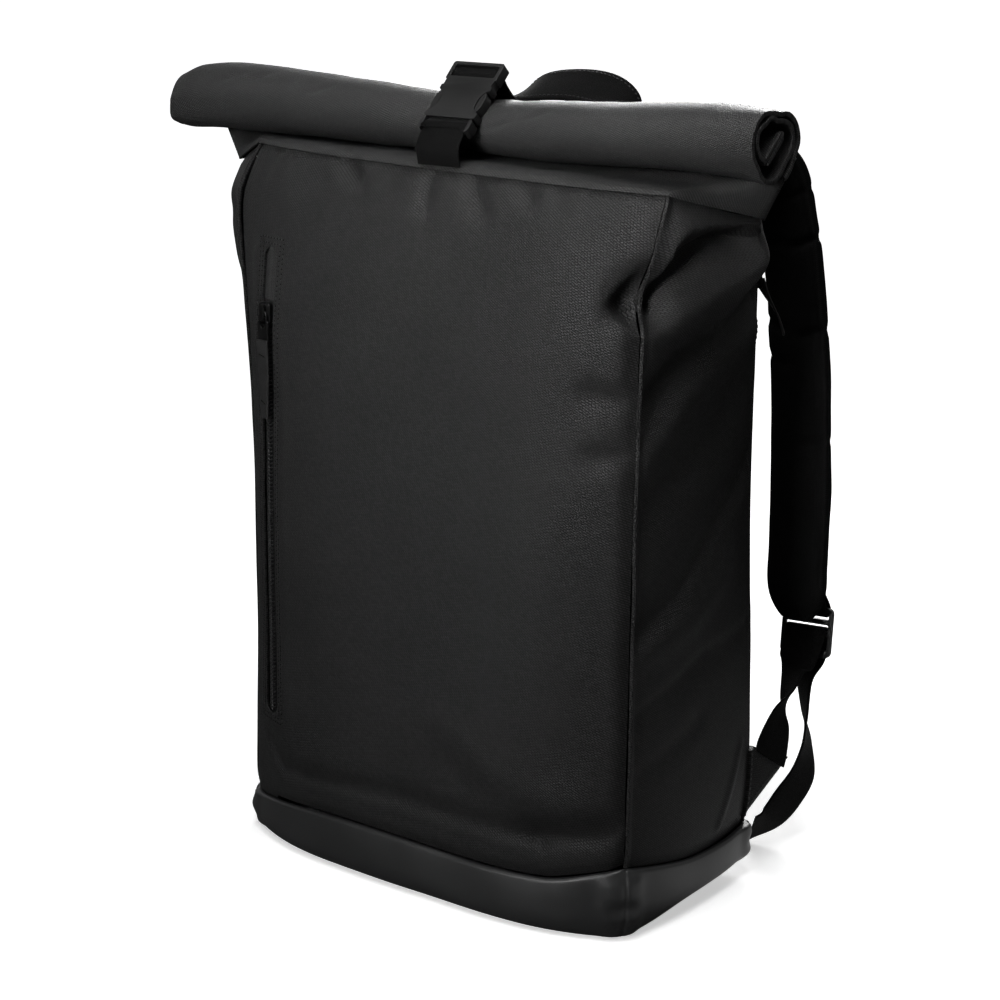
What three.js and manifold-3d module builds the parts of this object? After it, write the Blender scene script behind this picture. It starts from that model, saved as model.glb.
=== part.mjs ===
// A roll-top backpack standing on its base: four sewn body panels on a coated boot, a collar rolled
// forward and held by a buckle strap, a zipped front pocket, a zip at the back edge, a grab handle and
// two padded shoulder straps with webbing adjusters.
// Millimetres, +Z up. The front faces -Y, and the origin is under the middle of the base, on the ground.
import * as THREE from "three";
import { mergeVertices } from "three/addons/utils/BufferGeometryUtils.js";
import Module from "manifold-3d";

const wasm = await Module();
wasm.setup();
const { Vector2, Vector3, Matrix4, Shape, Path } = THREE;
const { clamp, degToRad, lerp, smoothstep } = THREE.MathUtils;

// Driving dimensions
const GAP = 0.4; // clearance between neighbouring pieces
const CLOTH = 1.8; // wall of the body panels
const PLY = 1.1; // one layer of the collar
const WEB = 1.5; // thickness of all webbing
const BACK_PAD = 8; // padded back panel
const BOOT_WALL = 2.2;
const SEAM_HEIGHT = 411; // collar seam at the middle of the front
const EAR_POWER = 1.15; // 1 for a sharp crest
const EAR_DEPTH = { right: 0.5, left: 0.28 }; // where each side is pinched out, from its front seam
const FRONT_SPAN = 270; // width of the front and back panels along the cloth
const SIDE_SPAN = 125; // width of a side panel along the cloth
const STRAP_WIDTH = 56; // padded shoulder strap
const STRAP_THICK = 10;
const STRAP_WEB = 25; // webbing below the shoulder straps
const CLOSURE_WEB = 29; // webbing of the closure buckle
const CLOSURE_X = 8; // the closure strap sits a little right of the middle
const HANDLE_WEB = 30;
const FRONT_ZIP = { x: -111, low: 82, high: 352, slot: 5, slider: 321 }; // slot is half its width
// The other zip lies on the back panel, between two shares of its width.
const SIDE_ZIP = { from: 0.012, to: 0.05, low: 135, high: 385, thick: 1.4, slider: 360 };

// A table of rows with named columns.
const table = (columns, rows) => rows.map((row) => Object.fromEntries(columns.map((c, i) => [c, row[i]])));

// Body sections from the boot to the collar seam. leftX and rightX are the front seams and backHalf the back
// ones. A bulge is how far a panel swells past the straight line between its seams, an ear is how far a side
// is pinched out, drop how far that pinch hangs, and lean how much lower the right side is than the middle.
const SECTION_COLUMNS = [
  ["z", "leftX", "rightX", "frontY", "backHalf", "backY"],
  ["frontBulge", "sideBulge", "backBulge", "earRight", "earLeft", "drop", "lean"],
];
const SECTIONS = table(SECTION_COLUMNS.flat(), [
  [20, -142, 133, -61, 133, 59, 25, 6, 5, 0, 0, 0, 0],
  [66, -138.5, 134, -63, 134, 62, 26, 8, 6, 0, 0, 0, 0],
  [130, -136.5, 135, -63, 132, 63, 26, 8, 6, 0, 0, 0, 0],
  [220, -136, 136, -63, 129, 64, 25, 8, 6, 0, 0, 0, 0],
  [305, -140, 136.5, -61, 130, 63, 21, 6, 6, 3, 12, 0, 0],
  [348, -145, 137, -59, 132, 60, 17, 3, 5, 16, 38, 4, 1],
  [382, -147, 141, -56, 133, 54, 13, 1, 4, 34, 43, 10, 2.5],
  [411, -136, 145, -50, 134, 48, 11, 0, 3, 29, 47, 16, 3.5],
]);

// Folds and dents of the panels: a ridge (or, with a negative rise, a valley) from one point to another,
// each given as a share of the panel's width, left to right seen from outside, and a height.
const FOLDS = table(
  ["panel", "fromAcross", "fromZ", "toAcross", "toZ", "rise", "width"],
  [
    ["front", 0.99, 347, 0.93, 351, -7, 11],
    ["front", 0.95, 323, 0.8, 377, 2.5, 24],
    ["front", 0.12, 48, 0.9, 56, -2.5, 8],
    ["front", 0.12, 305, 0.5, 397, 2, 28],
    ["front", 0.5, 403, 0.46, 377, -2.5, 12],
    ["right", 0.36, 373, 0.12, 335, -10, 13],
    ["right", 0.2, 323, 0.8, 357, 4, 15],
    ["right", 0.12, 291, 0.75, 335, -4, 15],
    ["right", 0.15, 237, 0.8, 297, 2.5, 20],
    ["right", 0.55, 58, 0.72, 92, -2.5, 10],
    ["left", 0.8, 373, 0.92, 335, -8, 12],
    ["left", 0.8, 323, 0.2, 357, 4, 15],
    ["left", 0.88, 291, 0.25, 335, -4, 15],
  ],
);
const SEAM_FADE = 14; // folds die out over this width beside a seam

// The boot from the edge of its flat underside, up outside and down inside to its floor: inset from the body
// outline, and height as a share of the boot's own.
const BOOT_RINGS = table(
  ["inset", "share"],
  [
    [5, 0],
    [1.4, 0.035],
    [-1, 0.12],
    [-2.4, 0.32],
    [-2.6, 0.65],
    [-1.2, 0.9],
    [0, 1],
    [BOOT_WALL, 1],
    [BOOT_WALL, 0.5],
    [4, 0.24],
    [8, 0.1],
  ],
);
const BOOT_TUCK = 22; // the bottom edge curves in by this much more at the back, over the boot's lower half

// Height of the boot's seam along each panel, left to right seen from outside: level along the front, low at
// its left corner and high at its right.
const SEAM_COLUMNS = ["across", "z"];
const BOOT_SEAM = {
  front: table(SEAM_COLUMNS, [[0, 21], [0.14, 27.5], [0.33, 32], [0.84, 32], [0.96, 39], [1, 42]]),
  right: table(SEAM_COLUMNS, [[0, 42], [0.22, 36.5], [0.5, 31], [1, 30]]),
  back: table(SEAM_COLUMNS, [[0, 30], [1, 30]]),
  left: table(SEAM_COLUMNS, [[0, 30], [0.6, 29], [1, 21]]),
};

// The roll along its length: middle of the section, and its half depth and half height.
const ROLL = table(
  ["x", "y", "z", "deep", "tall"],
  [
    [-212, -29, 431, 16.5, 13.5],
    [-198, -30, 434, 20.5, 17.8],
    [-165, -31, 435, 21, 18.4],
    [-110, -32, 433.8, 21, 17.7],
    [-46, -33, 432, 20.5, 16],
    [-18, -30, 430, 16.8, 13.4],
    [CLOSURE_X, -26, 429.5, 14, 11],
    [34, -29, 429, 16.8, 12],
    [64, -32, 430, 20, 14.8],
    [120, -32, 432.5, 21, 16],
    [180, -31, 433.6, 21, 18],
    [195, -30.5, 433, 20, 17.8],
  ],
);
const ROLL_START = -60; // degrees: where the double ply leaves the collar, 0 pointing back and 90 up
const ROLL_TURNS = 2.1;
const ROLL_GROWTH = 0.25; // how much of its size each turn lies inside the last
const ROLL_OUTER = 1.12; // size of the first point of the spiral, as a share of deep and tall
const ROLL_PLIES = 2 * PLY + 0.2;
const COLLAR_ENDS = { left: -188, right: 194 }; // where the collar's folded edges enter the roll
const BACK_PLY_ANGLE = -22; // where the back ply meets the roll
const COLLAR_PUFF = { front: 4, back: 2 }; // the collar swells out just above its seam
const COLLAR_BEND = { front: 2.8, back: 1.4 }; // and lies low until it nears the roll

// Sweeps along a centre line: position, and the direction of the width.
const SWEEP = ["x", "y", "z", "sideX", "sideY", "sideZ"];
const SHOULDER = table(SWEEP, [
  [78, 67.5, 366, 1, 0, 0],
  [79, 68, 396, 1, 0, 0],
  [90, 90, 419, 1, -0.1, 0],
  [101.5, 113, 406, 1, -0.25, 0],
  [109, 123, 372, 1, -0.4, 0],
  [115, 125, 335, 1, -0.46, 0],
  [121, 124, 285, 1, -0.46, 0],
  [126, 120.5, 220, 1, -0.46, 0],
  [128.5, 115, 166, 1, -0.46, 0],
  [130, 112, 145, 1, -0.46, 0],
]);
const HANDLE = table(SWEEP, [
  [-42, 59.5, 389, 1, 0, 0],
  [-43, 57.5, 411, 1, 0, 0.1],
  [-45, 60, 428, 0.8, 0.5, 0.3],
  [-28, 63, 441.5, 0.3, 0.84, 0.5],
  [3, 64, 445.5, 0, 0.86, 0.5],
  [28, 63, 442, -0.3, 0.84, 0.5],
  [45, 60, 430, -0.8, 0.5, 0.3],
  [44, 57.5, 411, -1, 0, 0.1],
  [43, 59.5, 389, -1, 0, 0],
]);
// Load strand from the wing up to the adjuster, and the free tail from there down to the ground.
const LOAD_STRAND = table(SWEEP, [
  [137.6, 79.6, 71.5, 0.26, 0.87, -0.42],
  [135.5, 91, 84, -0.05, 0.9, -0.4],
  [133.2, 101, 95, -0.6, 0.78, -0.1],
  [131, 111, 107, -0.8, 0.55, 0],
  [131.5, 114.5, 115, -0.98, 0, 0],
]);
const TAIL = table(SWEEP, [
  [130, 128, 115, -0.98, -0.05, 0],
  [129.5, 126, 100, -0.8, 0.58, 0],
  [133.3, 122, 77, -0.6, 0.8, 0],
  [136.3, 119.8, 60, -0.3, 0.95, -0.1],
  [137.3, 114.3, 43.5, 0.1, 0.9, -0.42],
  [132.5, 107, 30, 0.2, 0.82, -0.53],
  [126.5, 99.5, 18.5, 0.1, 0.82, -0.55],
  [118.3, 91.3, 10, -0.1, 0.82, -0.55],
]);
// Tab from the strap's end to the adjuster's top bar, and back up over itself.
const TAB_DOWN = table(SWEEP, [
  [130.8, 123.2, 178, -0.906, 0.42, 0],
  [131.9, 121.7, 161, -0.906, 0.42, 0],
]);
const TAB_UP = table(SWEEP, [
  [133, 124.2, 161, -0.906, 0.42, 0],
  [132.1, 125.5, 172, -0.906, 0.42, 0],
]);
const ADJUSTER = { at: [132, 123.3, 130], turn: 10, lean: 8, width: 31, height: 30, thick: 3.2 };
const ADJUSTER_SLOTS = table(
  ["low", "high"],
  [
    [8, 12.4],
    [0.8, 5],
    [-10.5, -2],
  ],
);
const WING = { low: 27, high: 76, tip: [142, 90, 63], thick: 2.6, clear: 1.8 };

// Zip slider and puller, in a frame with x across the zip, y up it and z outwards.
const SLIDER = { half: 4, low: -7, high: 6, thick: 3, post: 1.5, legs: [2, 4], bridge: 4.9, bar: 1.2 };
const PULLER = { half: 3.6, low: -19, high: -0.6, thick: 1.3, out: 2.6 };
const PULLER_HOLES = table(
  ["half", "low", "high", "radius"],
  [
    [2.2, -4.6, -1.4, 0.6],
    [2.4, -17.6, -13.4, 0.8],
  ],
);
const PULL_RIBBON = { width: 8, thick: 1.6 };
const FRONT_RIBBON = table(SWEEP, [
  [0, -14.5, 4.6, 1, 0, 0],
  [0.2, -26, 3.6, 1, 0, 0],
  [0.8, -46, 1.6, 1, 0, 0.05],
  [1, -65, 0, 1, 0, 0.1],
]);
const SIDE_RIBBON = table(SWEEP, [
  [0, -14.5, 4.6, 1, 0, 0],
  [-3, -24, 6, 0.9, 0, 0.4],
  [-7, -36, 9, 0.7, 0, 0.7],
  [-9, -47, 10.5, 0.62, 0, 0.78],
]);

// Every column of a table at a value of its key column, on smooth curves through the rows.
function rowAt(rows, key, value) {
  const last = rows.length - 1;
  let i = 0;
  while (i < last - 1 && value > rows[i + 1][key]) i++;
  const span = rows[i + 1][key] - rows[i][key];
  const u = clamp((value - rows[i][key]) / span, 0, 1);
  const slope = (n, column) => {
    const before = rows[Math.max(n - 1, 0)];
    const after = rows[Math.min(n + 1, last)];
    return (after[column] - before[column]) / (after[key] - before[key]);
  };
  const ease = u * u * (3 - 2 * u);
  const weights = [1 - ease, u * (1 - u) ** 2, ease, u * u * (u - 1)];
  const blend = (c) =>
    weights[0] * rows[i][c] +
    weights[1] * span * slope(i, c) +
    weights[2] * rows[i + 1][c] +
    weights[3] * span * slope(i + 1, c);
  return Object.fromEntries(Object.keys(rows[i]).map((c) => [c, blend(c)]));
}

const spaced = (from, to, steps) => Array.from({ length: steps + 1 }, (_, i) => lerp(from, to, i / steps));

// Geometry builders

// A closed surface from a list of triangle corners, turned so that its faces point out.
function closed(corners) {
  let volume = 0;
  for (let i = 0; i < corners.length; i += 3) {
    volume += corners[i].dot(new Vector3().crossVectors(corners[i + 1], corners[i + 2]));
  }
  if (volume < 0) corners.reverse();
  return new THREE.BufferGeometry().setFromPoints(corners);
}

// A closed wall between two grids of points, [row][column].
function wall(outer, inner) {
  const rows = outer.length - 1;
  const columns = outer[0].length - 1;
  const corners = [];
  const quad = (a, b, c, d) => corners.push(a, b, c, a, c, d);
  for (let i = 0; i < rows; i++) {
    for (let j = 0; j < columns; j++) {
      quad(outer[i][j], outer[i][j + 1], outer[i + 1][j + 1], outer[i + 1][j]);
      quad(inner[i][j], inner[i + 1][j], inner[i + 1][j + 1], inner[i][j + 1]);
    }
    quad(inner[i][0], outer[i][0], outer[i + 1][0], inner[i + 1][0]);
    quad(outer[i][columns], inner[i][columns], inner[i + 1][columns], outer[i + 1][columns]);
  }
  for (let j = 0; j < columns; j++) {
    quad(inner[0][j], inner[0][j + 1], outer[0][j + 1], outer[0][j]);
    quad(outer[rows][j], outer[rows][j + 1], inner[rows][j + 1], inner[rows][j]);
  }
  return closed(corners);
}

// A closed solid through rings of points that all run the same way round, with flat ends.
function loft(rings) {
  const corners = [];
  for (let i = 0; i + 1 < rings.length; i++) {
    rings[i].forEach((point, j) => {
      const k = (j + 1) % rings[i].length;
      corners.push(point, rings[i][k], rings[i + 1][k], point, rings[i + 1][k], rings[i + 1][j]);
    });
  }
  capTriangles(rings[0]).forEach(([a, b, c]) => corners.push(a, c, b));
  capTriangles(rings[rings.length - 1]).forEach(([a, b, c]) => corners.push(a, b, c));
  return closed(corners);
}

// Triangles over a flat ring, wound the way the ring runs.
function capTriangles(ring) {
  const normal = new Vector3();
  ring.forEach((p, i) => normal.add(new Vector3().crossVectors(p, ring[(i + 1) % ring.length])));
  const across = new Vector3().subVectors(ring[1], ring[0]).normalize();
  const up = new Vector3().crossVectors(normal, across).normalize();
  const flat = ring.map((p) => new Vector2(p.dot(across), p.dot(up)));
  return THREE.ShapeUtils.triangulateShape(flat, []).map((corner) => {
    const [a, b, c] = corner.map((n) => flat[n]);
    const turn = b.clone().sub(a).cross(c.clone().sub(a));
    return (turn > 0 ? corner : corner.toReversed()).map((n) => ring[n]);
  });
}

// Frames along a sweep table: centre, direction of travel, direction of width and outward normal.
function sweepFrames(rows, steps) {
  const keyed = rows.map((row, n) => ({ ...row, n }));
  const last = rows.length - 1;
  const place = (n) => {
    const row = rowAt(keyed, "n", clamp(n, 0, last));
    return { at: new Vector3(row.x, row.y, row.z), side: new Vector3(row.sideX, row.sideY, row.sideZ) };
  };
  return spaced(0, last, steps).map((n) => {
    const { at, side } = place(n);
    const travel = place(n + 0.02).at.sub(place(n - 0.02).at).normalize();
    side.addScaledVector(travel, -side.dot(travel)).normalize();
    return { at, travel, side, normal: new Vector3().crossVectors(travel, side) };
  });
}

const framePoint = (frame, across, out) =>
  frame.at.clone().addScaledVector(frame.side, across).addScaledVector(frame.normal, out);

// A flat band of even width and thickness along a sweep.
function band(rows, width, thick, steps) {
  const [w, t] = [width / 2, thick / 2];
  const corners = [[-w, -t], [w, -t], [w, t], [-w, t]];
  return loft(sweepFrames(rows, steps).map((frame) => corners.map(([a, o]) => framePoint(frame, a, o))));
}

function toManifold(geometry) {
  const bare = new THREE.BufferGeometry().setAttribute("position", geometry.getAttribute("position"));
  bare.setIndex(geometry.index);
  const merged = mergeVertices(bare, 1e-4);
  const vertProperties = merged.attributes.position.array;
  return new wasm.Manifold(new wasm.Mesh({ numProp: 3, vertProperties, triVerts: merged.index.array }));
}

function fromManifold(manifold) {
  const mesh = manifold.getMesh();
  const geometry = new THREE.BufferGeometry();
  geometry.setAttribute("position", new THREE.BufferAttribute(mesh.vertProperties, mesh.numProp));
  return geometry.setIndex(new THREE.BufferAttribute(mesh.triVerts, 1));
}

function cut(geometry, ...tools) {
  const whole = toManifold(geometry);
  return fromManifold(tools.reduce((rest, tool) => rest.subtract(toManifold(tool)), whole));
}

function join(geometry, ...others) {
  const first = toManifold(geometry);
  return fromManifold(others.reduce((all, other) => all.add(toManifold(other)), first));
}

// A flat shape given thickness about its own plane.
function plate(shape, thick, bevel = 0) {
  const rim = { bevelSize: bevel, bevelThickness: bevel, bevelOffset: -bevel, bevelSegments: 1 };
  const options = { ...rim, depth: thick - 2 * bevel, bevelEnabled: bevel > 0, curveSegments: 2 };
  return new THREE.ExtrudeGeometry(shape, options).translate(0, 0, bevel - thick / 2);
}

// A rounded rectangle from its edges.
function rounded(left, low, right, high, radius, Kind = Shape) {
  const made = new Kind();
  made.moveTo(left + radius, low);
  made.lineTo(right - radius, low);
  made.absarc(right - radius, low + radius, radius, -Math.PI / 2, 0, false);
  made.lineTo(right, high - radius);
  made.absarc(right - radius, high - radius, radius, 0, Math.PI / 2, false);
  made.lineTo(left + radius, high);
  made.absarc(left + radius, high - radius, radius, Math.PI / 2, Math.PI, false);
  made.lineTo(left, low + radius);
  made.absarc(left + radius, low + radius, radius, Math.PI, Math.PI * 1.5, false);
  return made;
}

const box = (left, low, back, right, high, front) =>
  new THREE.BoxGeometry(right - left, high - low, front - back).translate(
    (left + right) / 2,
    (low + high) / 2,
    (back + front) / 2,
  );

// Body surface

// Height of the folds of a panel, across running left to right seen from outside.
function foldHeight(panel, across, z, span) {
  const here = new Vector2(across * span, z);
  const fade = smoothstep(Math.min(across, 1 - across) * span, 0, SEAM_FADE);
  let height = 0;
  for (const fold of FOLDS.filter((row) => row.panel === panel)) {
    const from = new Vector2(fold.fromAcross * span, fold.fromZ);
    const along = new Vector2(fold.toAcross * span, fold.toZ).sub(from);
    const share = clamp(here.clone().sub(from).dot(along) / along.lengthSq(), 0, 1);
    const distance = here.distanceTo(from.addScaledVector(along, share));
    height += fold.rise * Math.exp(-((distance / fold.width) ** 2));
  }
  return height * fade;
}

const crown = (across, power) => 1 - Math.abs(2 * across - 1) ** power;
const leanBy = (row, x) => (-row.lean * x) / row.rightX;

function frontPoint(across, z) {
  const row = rowAt(SECTIONS, "z", z);
  const x = lerp(row.leftX, row.rightX, across);
  const out = row.frontBulge * crown(across, 4) + foldHeight("front", across, z, FRONT_SPAN);
  return new Vector3(x, row.frontY - out, z + leanBy(row, x));
}

// A side panel, from its front seam to its back seam. side is 1 for the right and -1 for the left.
function sidePoint(side, depth, z) {
  const row = rowAt(SECTIONS, "z", z);
  const right = side > 0;
  const seam = right ? row.rightX : -row.leftX;
  const peak = right ? EAR_DEPTH.right : EAR_DEPTH.left;
  const pinch = 1 - Math.abs((depth - peak) / (depth < peak ? peak : 1 - peak)) ** EAR_POWER;
  const [name, across] = right ? ["right", depth] : ["left", 1 - depth];
  const fold = foldHeight(name, across, z, SIDE_SPAN);
  const ear = (right ? row.earRight : row.earLeft) * pinch;
  const out = lerp(seam, row.backHalf, depth) + row.sideBulge * crown(depth, 2.5) + ear + fold;
  const y = lerp(row.frontY, row.backY, depth);
  return new Vector3(side * out, y, z - row.drop * pinch + leanBy(row, side * seam));
}

function backPoint(across, z) {
  const row = rowAt(SECTIONS, "z", z);
  const x = lerp(row.backHalf, -row.backHalf, across);
  return new Vector3(x, row.backY + row.backBulge * crown(across, 4), z + leanBy(row, x));
}

// The panels in order round the body, each running left to right seen from outside.
const PANELS = {
  front: { point: frontPoint, span: FRONT_SPAN, before: "left", after: "right" },
  right: { point: (a, z) => sidePoint(1, a, z), span: SIDE_SPAN, before: "front", after: "back" },
  back: { point: backPoint, span: FRONT_SPAN, before: "right", after: "left" },
  left: { point: (a, z) => sidePoint(-1, 1 - a, z), span: SIDE_SPAN, before: "back", after: "front" },
};

const bootTop = (name, across) => rowAt(BOOT_SEAM[name], "across", across).z;

function panelNormal(name, across, z) {
  const { point } = PANELS[name];
  const step = 0.004;
  const [a0, a1] = [Math.max(across - step, 0), Math.min(across + step, 1)];
  const [z0, z1] = [Math.max(z - 1, SECTIONS[0].z), Math.min(z + 1, SEAM_HEIGHT)];
  const acrossWay = point(a1, z).sub(point(a0, z));
  const upWay = point(across, z1).sub(point(across, z0));
  return acrossWay.cross(upWay).normalize();
}

// The way out from the body at a seam, on the bisector of its two panels and long enough to mitre them.
function seamOffset(name, end, z) {
  const { before, after } = PANELS[name];
  const own = panelNormal(name, end, z);
  const other = panelNormal(end ? after : before, 1 - end, z);
  const middle = own.clone().add(other).normalize();
  return middle.divideScalar(middle.dot(own));
}

// A whole panel from the boot to the collar seam, mitred along its side seams. Its rows lie closer together
// towards the gathered top.
function bodyPanel(name, columns, rows, thickness) {
  const { point, span } = PANELS[name];
  const seam = (0.75 * GAP) / span;
  const acrossList = spaced(seam, 1 - seam, columns);
  const shares = spaced(0, 1, rows).map((t) => 1 - (1 - t) ** 1.45);
  const height = (a, share) => lerp(bootTop(name, a) + GAP, SEAM_HEIGHT, share);
  const grid = (place) => shares.map((share) => acrossList.map((a, j) => place(a, height(a, share), j)));
  const inner = grid((a, z, j) => {
    const atSeam = j === 0 || j === columns;
    const inward = atSeam ? seamOffset(name, j === 0 ? 0 : 1, z) : panelNormal(name, a, z);
    return point(a, z).addScaledVector(inward, -thickness(a));
  });
  return wall(grid(point), inner);
}

// A strip over a panel between two edges, each a share of its width as a function of height. The offsets are
// the distances of its two faces from the panel's surface, column by column.
function strip(name, edges, low, high, steps, outside, inside) {
  const { point } = PANELS[name];
  const grid = (offsets) =>
    spaced(low, high, steps).map((z) =>
      spaced(edges[0](z), edges[1](z), offsets.length - 1).map((a, j) =>
        point(a, z).addScaledVector(panelNormal(name, a, z), offsets[j]),
      ),
    );
  return wall(grid(outside), grid(inside));
}

const acrossOfX = (x, z) => {
  const row = rowAt(SECTIONS, "z", z);
  return (x - row.leftX) / (row.rightX - row.leftX);
};

// A frame standing on a panel: x across, y up and z out from the surface.
function panelFrame(name, across, z, out) {
  const normal = panelNormal(name, across, z);
  const up = new Vector3(0, 0, 1).addScaledVector(normal, -normal.z).normalize();
  const frame = new THREE.Group();
  frame.applyMatrix4(new Matrix4().makeBasis(new Vector3().crossVectors(up, normal), up, normal));
  frame.position.copy(PANELS[name].point(across, z).addScaledVector(normal, out));
  return frame;
}

// The part

const part = new THREE.Group();
const finish = (color, roughness, metalness = 0) =>
  new THREE.MeshStandardMaterial({ color, roughness, metalness });
const FINISH = {
  cloth: () => finish(0x232324, 0.85),
  coated: () => finish(0x2b2b2d, 0.55),
  padded: () => finish(0x161617, 0.9),
  webbing: () => finish(0x1a1a1b, 0.75),
  plastic: () => finish(0x151516, 0.45),
  zip: () => finish(0x18181a, 0.6),
  metal: () => finish(0x2a2a2c, 0.35, 0.8),
};

function add(name, geometry, look, parent = part) {
  const mesh = new THREE.Mesh(geometry, FINISH[look]());
  mesh.name = name;
  parent.add(mesh);
}

// Body panels, with the slot of the pocket zip cut through the front
const zipEdges = (half) => [-half, half].map((shift) => (z) => acrossOfX(FRONT_ZIP.x + shift, z));
const frontStrip = (half, low, high, steps, outside, inside) =>
  strip("front", zipEdges(half), low, high, steps, outside, inside);
const zipSlot = frontStrip(FRONT_ZIP.slot, FRONT_ZIP.low, FRONT_ZIP.high, 8, [6, 6], [-8, -8]);
const clothWall = () => CLOTH;
const padWall = (a) => lerp(CLOTH, BACK_PAD, smoothstep(Math.min(a, 1 - a), 0.01, 0.12));
add("front_panel", cut(bodyPanel("front", 13, 17, clothWall), zipSlot), "cloth");
add("side_panel_right", bodyPanel("right", 10, 18, clothWall), "cloth");
add("side_panel_left", bodyPanel("left", 8, 16, clothWall), "cloth");
add("back_panel", bodyPanel("back", 10, 14, padWall), "padded");

// Boot: rings inset from the body outline, its bottom edge rounder towards the back
const BOOT_COLUMNS = { front: 13, right: 10, back: 10, left: 8 };
function bootGeometry() {
  const stations = Object.entries(BOOT_COLUMNS).flatMap(([name, count]) =>
    spaced(0, 1, count).slice(0, -1).map((a) => {
      const top = bootTop(name, a);
      const at = PANELS[name].point(a, top);
      const outward = a === 0 ? seamOffset(name, 0, top) : panelNormal(name, a, top);
      const tuck = BOOT_TUCK * smoothstep(at.y, SECTIONS[0].frontY - 10, SECTIONS[0].backY - 10);
      return { top, at, outward, tuck };
    }),
  );
  const ring = ({ inset, share }) =>
    stations.map(({ top, at, outward, tuck }) => {
      const drawn = tuck * Math.max(1 - 2 * share, 0) ** 2;
      const x = at.x - inset * outward.x - (drawn * at.x) / SECTIONS[0].backHalf;
      const y = at.y - inset * outward.y - (drawn * Math.max(at.y, 0)) / SECTIONS[0].backY;
      return new Vector3(x, y, top * share);
    });
  return loft(BOOT_RINGS.map(ring));
}
add("base_boot", bootGeometry(), "coated");

// Roll: a double ply wound forward in a spiral
function rollPoint(x, degrees, out) {
  const row = rowAt(ROLL, "x", x);
  const size = ROLL_OUTER - (ROLL_GROWTH * (degrees - ROLL_START)) / 360;
  const angle = degToRad(degrees);
  const y = row.y + (row.deep * size + out) * Math.cos(angle);
  return new Vector3(x, y, row.z + (row.tall * size + out) * Math.sin(angle));
}

function rollGeometry() {
  const angles = spaced(ROLL_START, ROLL_START + 360 * ROLL_TURNS, Math.round(12 * ROLL_TURNS));
  const ring = (x) => [
    ...angles.map((angle) => rollPoint(x, angle, ROLL_PLIES / 2)),
    ...angles.toReversed().map((angle) => rollPoint(x, angle, -ROLL_PLIES / 2)),
  ];
  return loft(ROLL.map(({ x }) => ring(x)));
}
add("roll_top", rollGeometry(), "cloth");

// Collar: each ply runs from the top edge of the panels in to the roll, which the front ply enters from below
function collarPly(edge, upper, puff, bend) {
  const rows = spaced(0, 1, 5);
  const [start, end] = [edge[0].x, edge[edge.length - 1].x];
  const { left, right } = COLLAR_ENDS;
  const surface = edge.map((low) => {
    const share = clamp((low.x - start) / (end - start), 0, 1);
    const high = upper(end > start ? lerp(left, right, share) : lerp(right, left, share));
    const fullness = puff * Math.sqrt(Math.sin(Math.PI * share));
    return rows.map((v) => {
      const rise = lerp(low.z, high.z, v ** bend) + fullness * Math.sin(Math.PI * Math.sqrt(v));
      return low.clone().lerp(high, v).setZ(rise);
    });
  });
  const outer = rows.map((_, i) => surface.map((column) => column[i]));
  const inner = outer.map((line, i) =>
    line.map((point, j) => {
      const along = line[Math.min(j + 1, line.length - 1)].clone().sub(line[Math.max(j - 1, 0)]);
      const up = outer[Math.min(i + 1, rows.length - 1)][j].clone().sub(outer[Math.max(i - 1, 0)][j]);
      return point.clone().addScaledVector(along.cross(up).normalize(), -PLY);
    }),
  );
  return wall(outer, inner);
}

// The top edge of the panels from one ear to the other, round the front or round the back, set off by shift.
function collarEdge(first, from, middle, last, to, shift) {
  const edge = [
    ...spaced(from, 1, 4).map((a) => PANELS[first].point(a, SEAM_HEIGHT)),
    ...spaced(0, 1, 11).slice(1, -1).map((a) => PANELS[middle].point(a, SEAM_HEIGHT)),
    ...spaced(0, to, 4).map((a) => PANELS[last].point(a, SEAM_HEIGHT)),
  ];
  return edge.map((p) => p.add(new Vector3(0, shift, GAP + PLY)));
}

const PLY_APART = PLY + GAP / 2;
const frontEdge = collarEdge("left", 1 - EAR_DEPTH.left, "front", "right", EAR_DEPTH.right, -PLY_APART);
const backEdge = collarEdge("right", EAR_DEPTH.right, "back", "left", 1 - EAR_DEPTH.left, PLY_APART);
const underRoll = (x) => rollPoint(x, ROLL_START, PLY).add(new Vector3(0, -4 * GAP, 0));
const behindRoll = (x) => rollPoint(x, BACK_PLY_ANGLE, ROLL_PLIES / 2 + 4 * GAP);
add("collar_front", collarPly(frontEdge, underRoll, COLLAR_PUFF.front, COLLAR_BEND.front), "cloth");
add("collar_back", collarPly(backEdge, behindRoll, COLLAR_PUFF.back, COLLAR_BEND.back), "cloth");

// Front pocket zip: a tape with a raised chain, recessed in its slot, and a cover over its top
const TAPE = { top: -1.9, chain: -0.5, bottom: -3 };
const frontTape = frontStrip(
  FRONT_ZIP.slot - GAP,
  FRONT_ZIP.low + GAP,
  FRONT_ZIP.high - GAP,
  10,
  [TAPE.top, TAPE.top, TAPE.chain, TAPE.chain, TAPE.top, TAPE.top],
  Array(6).fill(TAPE.bottom),
);
add("front_zip", frontTape, "zip");
const GARAGE = { half: 9, low: 329, high: 359, thick: 1.2 };
const [garageTop, garageUnder] = [GAP + GARAGE.thick, GAP].map((out) => [out, out]);
add("zip_garage", frontStrip(GARAGE.half, GARAGE.low, GARAGE.high, 3, garageTop, garageUnder), "cloth");

// Back edge zip: a flat tape laid on the back panel
const sideEdges = [SIDE_ZIP.from, SIDE_ZIP.to].map((share) => () => share);
const [tapeTop, tapeUnder] = [GAP + SIDE_ZIP.thick, GAP].map((out) => [out, out]);
add("side_zip", strip("back", sideEdges, SIDE_ZIP.low, SIDE_ZIP.high, 8, tapeTop, tapeUnder), "zip");

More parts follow.
